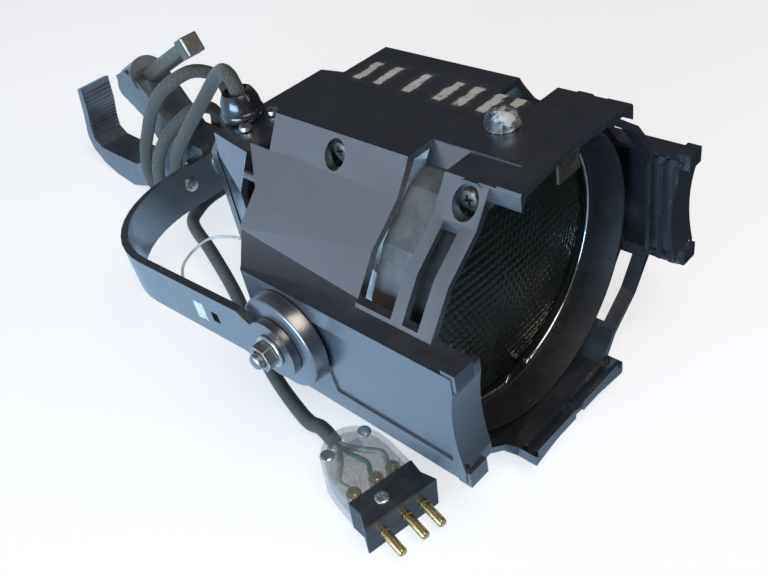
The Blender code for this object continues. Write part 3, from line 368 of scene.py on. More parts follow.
def metal(name, colour, roughness, dirt, dirt_share, grain=0.0):
    """Bare metal with grime in patches and, where asked, turning marks."""
    paint = Paint(name, colour, roughness, 1.0)
    grime = paint.patches(0.62 - 0.3 * dirt_share, 0.72, 5.0, 6.0, 0.7)
    fine = paint.patches(0.45, 0.65, 1.1, 4.0, 0.7)
    grime = paint.share(grime, paint.maths("ADD", paint.share(fine, 0.5), 0.5))
    paint.put("Base Color", paint.mixed(grime, colour, dirt))
    paint.put("Metallic", paint.between(grime, 0.0, 1.0, 1.0, 0.55))
    paint.wander("Roughness", roughness * 0.75, roughness * 1.4, 2.5, 5.0, 0.7)
    if grain:
        paint.bump(paint.noise(grain, 3.0, 0.6), 0.06, 0.6)
    return paint.material


def braid():
    """Braided fibre sleeve: the yarns come from the tube's own relief, the fibres from here."""
    # near-black colour low in the weave: painted shade in the creases between the strands
    gap_shade = (0.010, 0.010, 0.009)
    yarn_top = (0.115, 0.110, 0.092)
    fleck = (0.21, 0.20, 0.175)
    soiled = (0.040, 0.041, 0.043)
    paint = Paint("braided_sleeve_finish", (0.062, 0.062, 0.052), 0.78, Specular_IOR_Level=0.35,
                  Sheen_Weight=0.25, Sheen_Roughness=0.5)
    lift = paint.node("ShaderNodeAttribute")
    lift.attribute_name = "yarn"
    # colour darkens with the relief into the creases between strands: painted shade
    colour = paint.mixed(paint.between(lift.outputs["Fac"], 0.3, 0.95), gap_shade, yarn_top)
    flecks = paint.patches(0.56, 0.66, 1.6, 4.0, 0.75)
    colour = paint.over(colour, fleck, flecks, 0.45)
    patches = paint.patches(0.4, 0.65, 38.0, 3.0, 0.6)
    colour = paint.over(colour, soiled, patches, 0.35)
    paint.put("Base Color", colour)
    paint.bump(paint.noise(0.5, 3.0), 0.08, 0.7)
    return paint.material


def clear_cover():
    """Clear moulded plastic, hazed by scratches."""
    paint = Paint("clear_plastic_finish", (0.26, 0.26, 0.27), 0.1, Alpha=0.3, Coat_Weight=0.7,
                  Coat_Roughness=0.05, Specular_IOR_Level=0.8)
    first = paint.scratches((0.2, 0.4, 1.3), 0.5)
    second = paint.scratches((0.9, 0.1, 0.3), 0.5)
    lines = paint.maths("MAXIMUM", first, second)
    haze = paint.patches(0.5, 0.8, 4.0, 5.0, 0.7)
    cloud = paint.maths("ADD", paint.share(lines, 0.3), paint.share(haze, 0.10))
    paint.put("Alpha", paint.maths("ADD", cloud, 0.27))
    paint.wander("Roughness", 0.06, 0.18, 6.0, 4.0, 0.6)
    paint.bump(paint.noise(7.0, 3.0), 0.35, 0.4)
    return paint.material


def plain_plastic(name, colour, roughness, **sockets):
    """Moulded plastic or the like, stained in patches and lightly scuffed."""
    scuffed = (0.45, 0.45, 0.45)
    paint = Paint(name, colour, roughness, **sockets)
    darker = [channel * 0.6 for channel in colour]
    lighter = [min(1.0, channel * 1.25 + 0.01) for channel in colour]
    stain = paint.patches(0.35, 0.75, 8.0, 5.0, 0.7)
    colour = paint.mixed(stain, lighter, darker)
    scuffs = paint.share(paint.scratches((0.3, 1.2, 0.1), 0.56), 0.2)
    paint.put("Base Color", paint.mixed(scuffs, colour, scuffed))
    paint.wander("Roughness", roughness * 0.85, roughness * 1.2, 3.0, 4.0, 0.6)
    paint.bump(paint.noise(0.8, 3.0), 0.04, 0.5)
    return paint.material


def lens_glass():
    """Moulded glass made opaque and deep green-black: painted shade of the unlit inside behind the lens.
    """
    # near-black glass colour: painted shade of the unlit reflector behind the lens
    clean = (0.008, 0.012, 0.009)
    smeared = (0.020, 0.027, 0.019)
    paint = Paint("moulded_glass_finish", (0.010, 0.014, 0.012), 0.09, Specular_IOR_Level=0.6)
    smear = paint.patches(0.4, 0.75, 24.0, 5.0, 0.65)
    paint.put("Base Color", paint.mixed(smear, clean, smeared))
    paint.put("Roughness", paint.between(smear, 0.0, 1.0, 0.05, 0.16))
    return paint.material


def grey_sheet():
    """Dull grey sheet of the heat baffle, stained by heat."""
    dull = (0.095, 0.095, 0.094)
    pale = (0.19, 0.182, 0.168)
    paint = Paint("grey_baffle_finish", (0.115, 0.112, 0.108), 0.5, 0.35)
    paint.put("Base Color", paint.mixed(paint.patches(0.35, 0.7, 14.0, 6.0, 0.7), dull, pale))
    paint.wander("Roughness", 0.42, 0.62, 4.0, 4.0)
    paint.bump(paint.noise(6.0, 3.0), 0.1, 0.4)
    return paint.material


def knob_paint():
    """Dark paint, worn through in places, with a rub of white over it."""
    dark = (0.022, 0.022, 0.026)
    worn_through = (0.13, 0.125, 0.12)
    white = (0.62, 0.60, 0.56)
    paint = Paint("seam_knob_finish", dark, 0.5, Specular_IOR_Level=0.5)
    colour = paint.mixed(paint.patches(0.42, 0.6, 6.0, 6.0, 0.7), dark, worn_through)
    smear = paint.patches(0.52, 0.6, 9.0, 5.0, 0.75)
    paint.put("Base Color", paint.over(colour, white, smear, 0.75))
    paint.bump(paint.noise(2.0, 4.0), 0.1, 0.5)
    return paint.material


def worn_label():
    """Pale sticker, rubbed off in patches."""
    rubbed = (0.10, 0.11, 0.14)
    pale = (0.62, 0.64, 0.68)
    paint = Paint("blank_label_finish", pale, 0.5)
    paint.put("Base Color", paint.mixed(paint.patches(0.36, 0.44, 3.5, 6.0, 0.75), rubbed, pale))
    return paint.material


# near-black paint with a faint blue cast; the blue is partly painted reflection of the cool side light
BLACK = (0.014, 0.016, 0.023)
METALS = {       # colour, roughness, colour of the dirt, share of dirt, millimetres between marks
    "worn_steel": ((0.26, 0.24, 0.20), 0.42, (0.050, 0.045, 0.038), 0.85, 2.0),
    "zinc": ((0.66, 0.65, 0.62), 0.3, (0.20, 0.18, 0.15), 0.35, 1.5),
    "dark_zinc": ((0.42, 0.40, 0.38), 0.36, (0.10, 0.09, 0.08), 0.6, 1.5),
    # zinc darkened for the screws deep in their bores: painted shade of the bores
    "shaded_zinc": ((0.16, 0.15, 0.14), 0.45, (0.05, 0.045, 0.04), 0.7, 1.5),
    "brass": ((0.80, 0.58, 0.24), 0.24, (0.30, 0.20, 0.09), 0.35, 1.2),
    "chrome_wire": ((0.80, 0.80, 0.79), 0.12, (0.35, 0.34, 0.32), 0.1),
    "bright_aluminium": ((0.78, 0.78, 0.79), 0.2, (0.45, 0.43, 0.40), 0.1),
}
PLASTICS = {     # colour and roughness
    "black_plastic": ((0.030, 0.031, 0.034), 0.42),
    "pale_plastic": ((0.72, 0.74, 0.78), 0.35),
    "ceramic": ((0.74, 0.70, 0.62), 0.6),
    "white_wire": ((0.72, 0.69, 0.56), 0.45),
    "green_wire": ((0.03, 0.30, 0.05), 0.4),
}


def make_materials():
    made = {name: metal(name + "_finish", *values) for name, values in METALS.items()}
    made.update({name: plain_plastic(name + "_finish", *values) for name, values in PLASTICS.items()})
    made.update({
        "boot": plain_plastic("boot_finish", (0.012, 0.012, 0.013), 0.22, Coat_Weight=0.6,
                              Coat_Roughness=0.15),
        "quartz": plain_plastic("quartz_finish", (0.75, 0.78, 0.78), 0.05, Alpha=0.3),
        # the blue cast of these black tints is partly painted reflection of the cool side light
        "casting": satin_black("black_casting_finish", BLACK, 0.0),
        "casting_marked": satin_black("black_casting_marked", BLACK, 0.0, paint_marks=True),
        "casting_edge": satin_black("black_casting_edge", (0.030, 0.032, 0.038), 0.5),
        # darker, duller copy of the black casting for parts deep inside the barrel: partly painted shade
        "casting_inner": plain_plastic("black_casting_inner", (0.008, 0.0085, 0.010), 0.5),
        "steel": satin_black("black_steel_finish", (0.014, 0.015, 0.019), 0.0),
        "steel_edge": satin_black("black_steel_edge", (0.030, 0.031, 0.035), 0.7),
        "iron": cast_iron(),
        "sleeve": braid(),
        "clear": clear_cover(),
        "lens": lens_glass(),
        "grey": grey_sheet(),
        "seam_knob": knob_paint(),
        "label": worn_label(),
    })
    return made


# pieces

ROUND_EDGE = 40.0        # degrees; an edge that turns by more stays sharp
SCREW_EDGE = 35.0


def finish_piece(obj, body, slot, *nodes):
    """Let a piece ride on its body and stand for its CAD nodes, which it hides; the slot argument is not
    used.
    """
    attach(obj, body)
    if nodes:
        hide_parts(*nodes)
    return obj


def add_object(name, bm, materials, sharp=None):
    """Make an object of a mesh: flat faces, or smooth ones but for edges over sharp degrees."""
    bmesh.ops.recalc_face_normals(bm, faces=bm.faces)
    mesh = bpy.data.meshes.new(name)
    bm.to_mesh(mesh)
    bm.free()
    for material in materials:
        mesh.materials.append(material)
    if sharp:
        smooth_but_sharp(mesh, sharp)
    obj = bpy.data.objects.new(name, mesh)
    scene.collection.objects.link(obj)
    return obj


def smooth_but_sharp(mesh, sharp):
    """Shade a mesh smooth but for edges that turn by more than sharp degrees."""
    mesh.shade_smooth()
    mesh.set_sharp_from_angle(angle=math.radians(sharp))


def add_finished(node, bm, material, body, slot, sharp=ROUND_EDGE):
    """Put a modelled piece in the place of the CAD node that it is named after."""
    obj = add_object(node + "_finished", bm, [material], sharp)
    return finish_piece(obj, body, slot, node)


def node_bmesh(node):
    """The node's faces, joined at their edges and with flat regions made whole again."""
    bm = bmesh.new()
    bm.from_mesh(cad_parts[node].data)
    bmesh.ops.remove_doubles(bm, verts=bm.verts, dist=5e-6)
    bmesh.ops.dissolve_limit(bm, angle_limit=math.radians(0.8), verts=bm.verts, edges=bm.edges)
    return bm


def soften(node, body, slot, materials, width, angle=28.0, segments=2):
    """Stand a copy with rounded edges in a CAD node's place; the edges take the second material."""
    bm = node_bmesh(node)
    for face in bm.faces:
        face.material_index = 0
    obj = add_object(node + "_finished", bm, materials, angle)
    bevel = obj.modifiers.new("edges", "BEVEL")
    bevel.width = width * MM
    bevel.segments = segments
    bevel.limit_method = "ANGLE"
    bevel.angle_limit = math.radians(angle)
    bevel.harden_normals = True
    bevel.use_clamp_overlap = True
    bevel.material = 1
    return finish_piece(obj, body, slot, node)


def dress(node, material):
    """Give a CAD node that stays as it is a finished material."""
    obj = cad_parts[node]
    if not obj.material_slots:
        obj.data.materials.append(material)
    for entry in obj.material_slots:
        entry.material = material


def frame_of(direction):
    """The given direction and two square to it."""
    direction = Vector(direction).normalized()
    helper = Vector((0, 0, 1)) if abs(direction.z) < 0.9 else Vector((0, 1, 0))
    across = direction.cross(helper).normalized()
    return direction, across, direction.cross(across)


def spokes(across, third, sides):
    """Unit directions spaced evenly round a ring."""
    turns = [2 * math.pi * i / sides for i in range(sides)]
    return [across * math.cos(turn) + third * math.sin(turn) for turn in turns]


def rectangle(low_a, high_a, low_b, high_b):
    return [(low_a, low_b), (high_a, low_b), (high_a, high_b), (low_a, high_b)]


def add_turned(bm, start, direction, profile, sides=32):
    """Turn (along, radius) millimetre pairs round a line from a world place in metres."""
    direction, across, third = frame_of(direction)
    layers = []
    for along, radius in profile:
        centre = start + direction * along * MM
        if radius == 0:
            layers.append([bm.verts.new(centre)])
            continue
        ring = [centre + spoke * radius * MM for spoke in spokes(across, third, sides)]
        layers.append([bm.verts.new(place) for place in ring])
    pairs = list(zip(layers, layers[1:]))
    if len(layers[0]) > 1 and len(layers[-1]) > 1:
        pairs.append((layers[-1], layers[0]))
    for low, high in pairs:
        for i in range(sides):
            j = (i + 1) % sides
            if len(low) == 1:
                bm.faces.new((low[0], high[j], high[i]))
            elif len(high) == 1:
                bm.faces.new((low[i], low[j], high[0]))
            else:
                bm.faces.new((low[i], low[j], high[j], high[i]))


def add_skin(bm, rings):
    """Join rings of as many points each into one skin, closed by a face at both ends."""
    sides = len(rings[0])
    for low, high in zip(rings, rings[1:]):
        for i in range(sides):
            j = (i + 1) % sides
            bm.faces.new((low[i], low[j], high[j], high[i]))
    bm.faces.new(rings[0][::-1])
    bm.faces.new(rings[-1])


def add_prism(bm, outline, place, low, high):
    """Flat outline of (a, b) points given thickness between two values of a third coordinate."""
    add_skin(bm, [[bm.verts.new(place(a, b, c)) for a, b in outline] for c in (low, high)])


def along_path(points):
    """Each place of a path with two directions square to it, which turn as little as they can."""
    helper = Vector((0, 0, 1))
    last = len(points) - 1
    for index, place in enumerate(points):
        ahead = (points[min(index + 1, last)] - points[max(index - 1, 0)]).normalized()
        across = helper - ahead * helper.dot(ahead)
        if across.length < 0.05:
            across = Vector((1, 0, 0)) - ahead * ahead.x
        across.normalize()
        helper = across
        yield place, across, ahead.cross(across)


def add_tube(bm, points, radius, sides=12):
    """Round tube through world places in metres, closed at both ends."""
    rings = []
    for place, across, third in along_path(points):
        ring = [place + spoke * radius * MM for spoke in spokes(across, third, sides)]
        rings.append([bm.verts.new(point) for point in ring])
    add_skin(bm, rings)


def cut_away(obj, cutter, sharp):
    """Take the cutter's shape out of obj's mesh and remove the cutter."""
    modifier = obj.modifiers.new("cut", "BOOLEAN")
    modifier.operation = "DIFFERENCE"
    modifier.solver = "EXACT"
    modifier.object = cutter
    depsgraph = bpy.context.evaluated_depsgraph_get()
    depsgraph.update()
    mesh = bpy.data.meshes.new_from_object(obj.evaluated_get(depsgraph))
    obj.modifiers.remove(modifier)
    obj.data = mesh
    bpy.data.objects.remove(cutter, do_unlink=True)
    smooth_but_sharp(mesh, sharp)


CROSS = (2, 0.14, 0.55, 0.3)      # cuts; half width and half length as shares of the head's radius,
SLOT = (1, 0.13, 1.3, 0.55)       # and the height of the cut's floor as a share of the head's height


def add_screw(node, body, start, direction, radius, height, material, recess=CROSS, turn=0.4):
    """Domed screw head with a cross or a slot sunk in it, in place of a CAD screw."""
    profile = [(0, 0), (0, radius), (height * 0.45, radius), (height * 0.75, radius * 0.9),
               (height * 0.95, radius * 0.6), (height, 0)]
    bm = bmesh.new()
    add_turned(bm, start, direction, profile)
    obj = add_object(node + "_finished", bm, [material], SCREW_EDGE)
    direction, across, third = frame_of(direction)
    cuts, wide, long_way, deep = recess
    outline = rectangle(-long_way * radius, long_way * radius, -wide * radius, wide * radius)
    for index in range(cuts):
        angle = turn + math.pi / 2 * index
        blade = across * math.cos(angle) + third * math.sin(angle)
        thick = direction.cross(blade)

        def place(a, b, c):
            return start + (blade * a + thick * b + direction * c) * MM

        cutter = bmesh.new()
        add_prism(cutter, outline, place, deep * height, height + 2.0)
        cut_away(obj, add_object("blade", cutter, [material]), SCREW_EDGE)
    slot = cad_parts[node].material_slots[0].name
    return finish_piece(obj, body, slot.split(".")[0], node)


# lead

GLAND_PLACE = (-24.0, -121.0)          # side and ahead of the boot on the rear cap
LEAD_START = (*GLAND_PLACE, 79.9)      # inside the boot
LEAD_IN_COVER = (-72.7, -57.7)         # ahead, where the lead runs into the plug's cover


def cord_route():
    """The lead's run: cap, round the clamp's stem, over itself and down to the plug."""
    down_to_stem = [(-23.6, -122.3, 86), (-22, -128, 91.5), (-18, -141, 90), (-15, -156, 81),
                    (-14, -173, 67), (-17, -194, 46), (-21, -216, 23), (-22, -237, -1), (-22, -250, -30)]
    round_stem = [(-9, -254, -53), (9, -254, -53), (22, -250, -29), (22, -239, 3), (18, -229, 24),
                  (1, -227, 33), (-20, -237, 21), (-30, -249, 1), (-31, -261, -25)]
    back_up = [(-27, -275, -42), (-24, -288, -28), (-24, -279, -4), (-24, -261, 20), (-24, -240, 44),
               (-19, -220, 62), (-2, -208, 69), (14, -203, 59), (21, -207, 39)]
    to_floor = [(22.5, -223.5, 15), (22.5, -225, -9), (17, -225, -30), (4, -224, -36), (-14, -222, -36),
                (-28, -218, -37), (-40, -211, -41), (-50, -178, -49), (-60, -145, -66), (-76, -109, -75),
                (-91, -70, -85), (-103, -27, -87)]
    places = [LEAD_START] + down_to_stem + round_stem + back_up + to_floor
    into_plug = [plug(0, ahead, PLUG_MIDDLE) for ahead in LEAD_IN_COVER]
    return [lamp(*place) for place in places] + into_plug


def smooth_run(points, steps):
    """Points on a smooth curve through the given ones, with steps between each pair."""
    dense = []
    count = len(points)
    for i in range(count - 1):
        before = points[max(i - 1, 0)]
        after = points[min(i + 2, count - 1)]
        a, b = points[i], points[i + 1]
        for step in range(steps):
            t = step / steps
            dense.append(0.5 * ((2 * a) + (b - before) * t + (2 * before - 5 * a + 4 * b - after) * t * t
                                + (3 * a - before - 3 * b + after) * t ** 3))
    dense.append(points[-1])
    return dense


def even_run(points, spacing):
    """Points at an even spacing in metres along a dense line."""
    kept = [points[0]]
    left = spacing
    for start, end in zip(points, points[1:]):
        length = (end - start).length
        gone = 0.0
        while length - gone >= left:
            gone += left
            kept.append(start.lerp(end, gone / length))
            left = spacing
        left -= length - gone
    kept.append(points[-1])
    return kept


YARN_TURNS = 9           # strands each way round the sleeve
YARN_PITCH = 21.0        # millimetres in which a strand goes once round
YARN_RELIEF = 0.45
CORD_SIDES = 48
CORD_SPACING = 0.75      # millimetres from one ring of the sleeve's mesh to the next


def braid_lift(along, angle):
    """Height from 0 to 1 of two crossing sets of strands, woven over and under."""
    turn = angle / (2 * math.pi)
    first = YARN_TURNS * (turn + along / YARN_PITCH)
    second = YARN_TURNS * (turn - along / YARN_PITCH)
    over = math.sin(math.pi * (first + second) / 2) * math.sin(math.pi * (first - second) / 2)
    one = abs(math.cos(math.pi * first)) ** 0.6
    other = abs(math.cos(math.pi * second)) ** 0.6
    return one * (0.5 + 0.5 * over) + other * (0.5 - 0.5 * over)


def add_cord(m):
    """Braided sleeve with its yarns in relief, with the line it follows and that line's length."""
    path = even_run(smooth_run(cord_route(), 40), CORD_SPACING * MM)
    length = sum((b - a).length for a, b in zip(path, path[1:]))
    bm = bmesh.new()
    lifts = []
    rings = []
    for index, (place, across, third) in enumerate(along_path(path)):
        ring = []
        for i, spoke in enumerate(spokes(across, third, CORD_SIDES)):
            lift = braid_lift(index * CORD_SPACING, 2 * math.pi * i / CORD_SIDES)
            radius = (CORD_RADIUS - YARN_RELIEF * (1.0 - lift)) * MM
            ring.append(bm.verts.new(place + spoke * radius))
            lifts.append(lift)
        rings.append(ring)
    add_skin(bm, rings)
    cord = add_object("lead_sleeve", bm, [m["sleeve"]], 60.0)
    yarn = cord.data.attributes.new("yarn", "FLOAT", "POINT")
    yarn.data.foreach_set("value", lifts)
    finish_piece(cord, "housing", "braided_sleeve", "power_lead")
    return cord, path, length


# floor and light

WINDOW_WAY = Vector((-0.82, 0.57, 0.0))     # along the floor to the bright side of the room
WINDOW_BLUE = (0.50, 0.73, 1.0)
FLOOR_COLOUR = (0.58, 0.58, 0.59)
FLOOR_GLOW = 0.62                           # what the camera sees on top of the lit floor
FLOOR_HALF = 6.0
WHITE = (1.0, 1.0, 1.0)
SKY_BLUE = (0.80, 0.88, 1.0)
SKY = 0.16
STUDIO_BLUE = (0.74, 0.84, 1.0)
BRIGHT_SIDE = Vector((-0.78, 0.50, -0.10))


def add_floor():
    """Plain pale floor; gloss on the lantern sees it bright towards the window."""
    paint = Paint("floor", FLOOR_COLOUR, 0.9)
    tree = paint.tree
    tree.nodes.remove(paint.shader)
    diffuse = paint.node("ShaderNodeBsdfDiffuse", Color=(*FLOOR_COLOUR, 1.0)).outputs[0]
    plain = paint.node("ShaderNodeEmission", Color=(*WHITE, 1.0), Strength=FLOOR_GLOW).outputs[0]
    glow = paint.between(paint.axis(WINDOW_WAY, (0.0, -0.14, 0.0)), -210.0, 110.0, 0.04, 1.0)
    in_gloss = paint.node("ShaderNodeEmission", Color=(*WINDOW_BLUE, 1.0), Strength=glow).outputs[0]
    added = tree.nodes.new("ShaderNodeAddShader")
    for socket, shader in zip(added.inputs, (diffuse, plain)):
        tree.links.new(shader, socket)
    ray = paint.node("ShaderNodeLightPath").outputs
    by_gloss = paint.maths("MAXIMUM", ray["Is Glossy Ray"], ray["Is Transmission Ray"])
    by_camera = paint.mixed_shader(ray["Is Camera Ray"], diffuse, added.outputs[0])
    seen = paint.mixed_shader(by_gloss, by_camera, in_gloss)
    tree.links.new(seen, tree.nodes["Material Output"].inputs["Surface"])
    bm = bmesh.new()
    bmesh.ops.create_grid(bm, x_segments=1, y_segments=1, size=FLOOR_HALF)
    floor = add_object("floor", bm, [paint.material])
    floor.location = (0, 0, -0.0003)
    floor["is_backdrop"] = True


MIDDLE = (0.0, -0.05, 0.10)       # what the lights point at


def add_light(name, place, width, height, power, colour):
    data = bpy.data.lights.new(name, "AREA")
    data.shape = "RECTANGLE"
    data.size = width
    data.size_y = height
    data.energy = power
    data.color = colour
    light = bpy.data.objects.new(name, data)
    light.location = place
    light.rotation_euler = (Vector(MIDDLE) - Vector(place)).to_track_quat("-Z", "Y").to_euler()
    scene.collection.objects.link(light)


def add_lights():
    add_light("cool_side", (-1.5, -0.30, 0.20), 1.2, 0.7, 44.0, (0.48, 0.72, 1.0))
    add_light("warm_top", (-0.25, -0.85, 1.5), 0.9, 0.9, 11.0, (1.0, 0.88, 0.78))
    add_light("front_glint", (0.75, -1.7, 1.0), 0.16, 0.9, 2.5, (1.0, 0.98, 0.96))


def add_world():
    """Soft sky light, white behind the lantern, and a cool bright side that only gloss sees."""
    world = bpy.data.worlds.new("studio")
    scene.world = world
    world.use_nodes = True
    tree = world.node_tree
    tree.nodes.remove(tree.nodes["Background"])
    nodes = Nodes(tree)

    def background(colour, strength):
        return nodes.node("ShaderNodeBackground", Color=(*colour, 1.0), Strength=strength).outputs[0]

    where = nodes.node("ShaderNodeTexCoord").outputs["Generated"]
    towards = nodes.vector_maths("DOT_PRODUCT", where, BRIGHT_SIDE.normalized())["Value"]
    fade = nodes.between(towards, 0.1, 0.98, 0.05, 0.75, "SMOOTHSTEP")
    ray = nodes.node("ShaderNodeLightPath").outputs
    by_gloss = background(STUDIO_BLUE, fade)
    lit = nodes.mixed_shader(ray["Is Glossy Ray"], background(SKY_BLUE, SKY), by_gloss)
    through = nodes.maths("MAXIMUM", ray["Is Camera Ray"], ray["Is Transmission Ray"])
    seen = nodes.mixed_shader(through, lit, background(WHITE, 1.0))
    tree.links.new(seen, tree.nodes["World Output"].inputs["Surface"])


# barrel

HOUSING_SCREWS = ((-3.0, 43.8), (86.0, 46.3))      # ahead of the tilt axis, and out to each side
HOUSING_SCREW_UP = 85.0
SEAM_KNOB_AHEAD = 69.0


def make_barrel(m):
    for node in ("housing_left_half", "housing_right_half"):
        soften(node, "housing", "black_casting", [m["casting_marked"], m["casting_edge"]], 0.9)
    dress("heat_baffle", m["grey"])
    dress("reflector", m["bright_aluminium"])
    # the rear spider sits inside the barrel and takes the darker casting copy: painted shade
    soften("rear_spider", "housing", "black_casting", [m["casting_inner"]] * 2, 0.4)
    soften("frame_latch", "latch", "worn_steel", [m["worn_steel"]] * 2, 0.3)
    for side, word in ((-1, "left"), (1, "right")):
        for index, (ahead, away) in enumerate(HOUSING_SCREWS, 1):
            # these screws sit deep in bores and take the darkened zinc: painted shade of the bores
            place = lamp(side * away, ahead, HOUSING_SCREW_UP)
            add_screw("housing_screw_%s_%d" % (word, index), "housing", place, (side, 0, 0), 5.2, 3.4,
                      m["shaded_zinc"])


def make_seam_knob(m):
    """Domed knob on a thin rim."""
    profile = [(0, 0), (0, 9.3), (0.9, 9.4), (3.0, 9.1), (5.0, 8.5), (7.0, 7.3), (8.6, 5.2), (9.5, 2.6),
               (9.8, 0)]
    bm = bmesh.new()
    add_turned(bm, lamp(0, SEAM_KNOB_AHEAD, PLATE_UP + 0.3), UP, profile, 40)
    add_finished("seam_knob", bm, m["seam_knob"], "housing", "zinc", 50.0)


# lens

LENSLET_WIDE = 4.6
LENSLET_HIGH = 5.6
LENSLET_RISE = 0.7
LENS_EDGE = LENS_RADIUS - 0.4
LENS_RINGS = 150
LENS_SIDES = 300


def lens_height(side, up):
    """Height in millimetres of the lens's front: a shallow dome covered in small lenses."""
    radius = math.hypot(side, up)
    dome = 5.5 + 5.0 * (1 - (radius / LENS_RADIUS) ** 2)
    row = round(up / LENSLET_HIGH)
    shift = LENSLET_WIDE / 2 if row % 2 else 0.0
    column = round((side - shift) / LENSLET_WIDE)
    x = (side - shift - column * LENSLET_WIDE) / (LENSLET_WIDE / 2)
    y = (up - row * LENSLET_HIGH) / (LENSLET_HIGH / 2)
    fall = min(1.0, x * x * 0.5 + y * y * 0.5)
    edge = min(1.0, max(0.0, (LENS_RADIUS - 3.5 - radius) / 1.5))
    return dome - LENSLET_RISE * fall * edge - 0.2


def make_lens(m):
    """Round lens on a fine grid, with its rows of small lenses in real relief."""
    bm = bmesh.new()
    turns = [2 * math.pi * i / LENS_SIDES for i in range(LENS_SIDES)]
    layers = []
    for step in range(1, LENS_RINGS + 1):
        radius = LENS_EDGE * step / LENS_RINGS
        layer = []
        for turn in turns:
            side = radius * math.cos(turn)
            up = radius * math.sin(turn)
            layer.append(bm.verts.new(lamp(side, LENS_AHEAD + lens_height(side, up), up)))
        layers.append(layer)
    centre = bm.verts.new(lamp(0, LENS_AHEAD + lens_height(0, 0), 0))
    back_rim = []
    for turn in turns:
        place = lamp(LENS_EDGE * math.cos(turn), LENS_AHEAD, LENS_EDGE * math.sin(turn))
        back_rim.append(bm.verts.new(place))
    layers.append(back_rim)
    for i in range(LENS_SIDES):
        j = (i + 1) % LENS_SIDES
        bm.faces.new((centre, layers[0][i], layers[0][j]))
        for low, high in zip(layers, layers[1:]):
            bm.faces.new((low[i], high[i], high[j], low[j]))
    bm.faces.new(back_rim[::-1])
    add_finished("lens", bm, m["lens"], "lens_group", "moulded_glass", 75.0)


RING_REAR = 49.0
RING_SEAT = 80.5
RING_WALL = LENS_RADIUS + 3.4
RING_LIP = LENS_RADIUS + 6.5
MARK_MIDDLES = (-38.0, -59.5)     # degrees round the ring from its left to its lower side
MARK_HALF = 3.6


def make_lens_ring(m):
    """Ring round the lens: stepped wall, rounded lip and two raised marks inside."""
    inside = RING_WALL - 1.4
    profile = [(0, RING_SEAT), (0, RING_WALL - 0.6), (0.6, RING_WALL), (22.6, RING_WALL),
               (22.6, RING_LIP - 0.5), (23.1, RING_LIP), (33.4, RING_LIP), (33.9, RING_LIP - 0.5),
               (33.9, RING_LIP - 1.1), (33.4, RING_LIP - 1.6), (22.8, inside), (14.0, inside),
               (13.4, inside - 0.8), (12.6, inside - 0.8), (12.0, inside), (2.4, inside),
               (2.0, inside - 0.4), (2.0, RING_SEAT + 0.4), (1.6, RING_SEAT)]
    bm = bmesh.new()
    add_turned(bm, lamp(0, RING_REAR, 0), AHEAD, profile, 128)
    bars = ((-MARK_HALF, -MARK_HALF + 0.8, 58.0, 68.0), (MARK_HALF - 0.8, MARK_HALF, 58.0, 68.0),
            (-MARK_HALF, MARK_HALF, 67.0, 68.4))
    for middle in MARK_MIDDLES:
        for low, high, rear, front in bars:
            turns = [math.radians(middle + low + (high - low) * step / 4) for step in range(5)]
            arcs = ((RING_WALL - 1.2, turns), (RING_WALL - 2.4, turns[::-1]))
            outline = [(away * math.cos(a), away * math.sin(a)) for away, arc in arcs for a in arc]
            add_prism(bm, outline, lambda a, b, c: lamp(a, c, b), rear, front)
    # the ring sits deep in the front and takes the darker casting copy: painted shade
    add_finished("lens_ring", bm, m["casting_inner"], "lens_group", "black_casting", 25.0)


WIRE_START = -84.0
WIRE_ROUND = 348.0
WIRE_STEPS = 150


def make_lens_wire(m):
    """Spring wire that holds the lens, open at the bottom with its two ends bent in."""

    def on_wire(degrees, radius, ahead):
        turn = math.radians(degrees)
        return lamp(radius * math.cos(turn), ahead, radius * math.sin(turn))

    turns = [WIRE_START + WIRE_ROUND * step / WIRE_STEPS for step in range(WIRE_STEPS + 1)]
    ends = [on_wire(turn, 78.5, 62.6) for turn in (WIRE_START, WIRE_START + WIRE_ROUND)]
    points = [on_wire(turn, 84.1, 60.8) for turn in turns]
    bm = bmesh.new()
    add_tube(bm, [ends[0]] + points + [ends[1]], 1.3)
    add_finished("lens_wire", bm, m["chrome_wire"], "lens_group", "chrome_wire", 60.0)


# rear

CAP_UP = 66.3                     # just over the cap's top
CAP_SCREW_SIDES = (-35.5, -13.0)
CAP_SCREW_AHEAD = -105.0


def make_rear(m):
    soften("rear_cap", "cap", "black_casting", [m["casting"], m["casting_edge"]], 0.9)
    for index in range(1, 5):
        dress("cap_stud_%d" % index, m["steel"])
    for index, side in enumerate(CAP_SCREW_SIDES, 1):
        place = lamp(side, CAP_SCREW_AHEAD, CAP_UP)
        add_screw("cap_screw_%d" % index, "cap", place, UP, 4.2, 3.2, m["zinc"])
    dress("lampholder", m["ceramic"])
    dress("lamp_base", m["bright_aluminium"])
    dress("lamp_envelope", m["quartz"])


def make_gland(m):
    """Domed boot with a rolled foot and a flared mouth that lets the lead out of the cap."""
    outside = [(0, 0), (0, 13.2), (0.4, 13.7), (1.5, 14.0), (3.6, 14.0), (5.0, 13.6), (5.8, 12.9),
               (6.4, 12.9), (8.0, 12.9), (11.0, 12.4), (14.0, 11.3), (16.2, 10.2), (17.0, 9.7)]
    mouth = [(17.0, 9.2), (16.0, 8.6), (13.5, 6.9), (11.0, 5.9), (11.0, 0)]
    bm = bmesh.new()
    add_turned(bm, lamp(*GLAND_PLACE, CAP_UP), UP, outside + mouth, 64)
    add_finished("cord_gland", bm, m["boot"], "cap", "black_plastic")


# pivots and yoke

DISC_SIDE = 109.8
WASHER_SIDE = 125.1
BOLT_SIDE = 119.6
NUT_BOLT = 17.5                   # length of the bolt that shows, under a nut and under the knob
KNOB_BOLT = 8.0


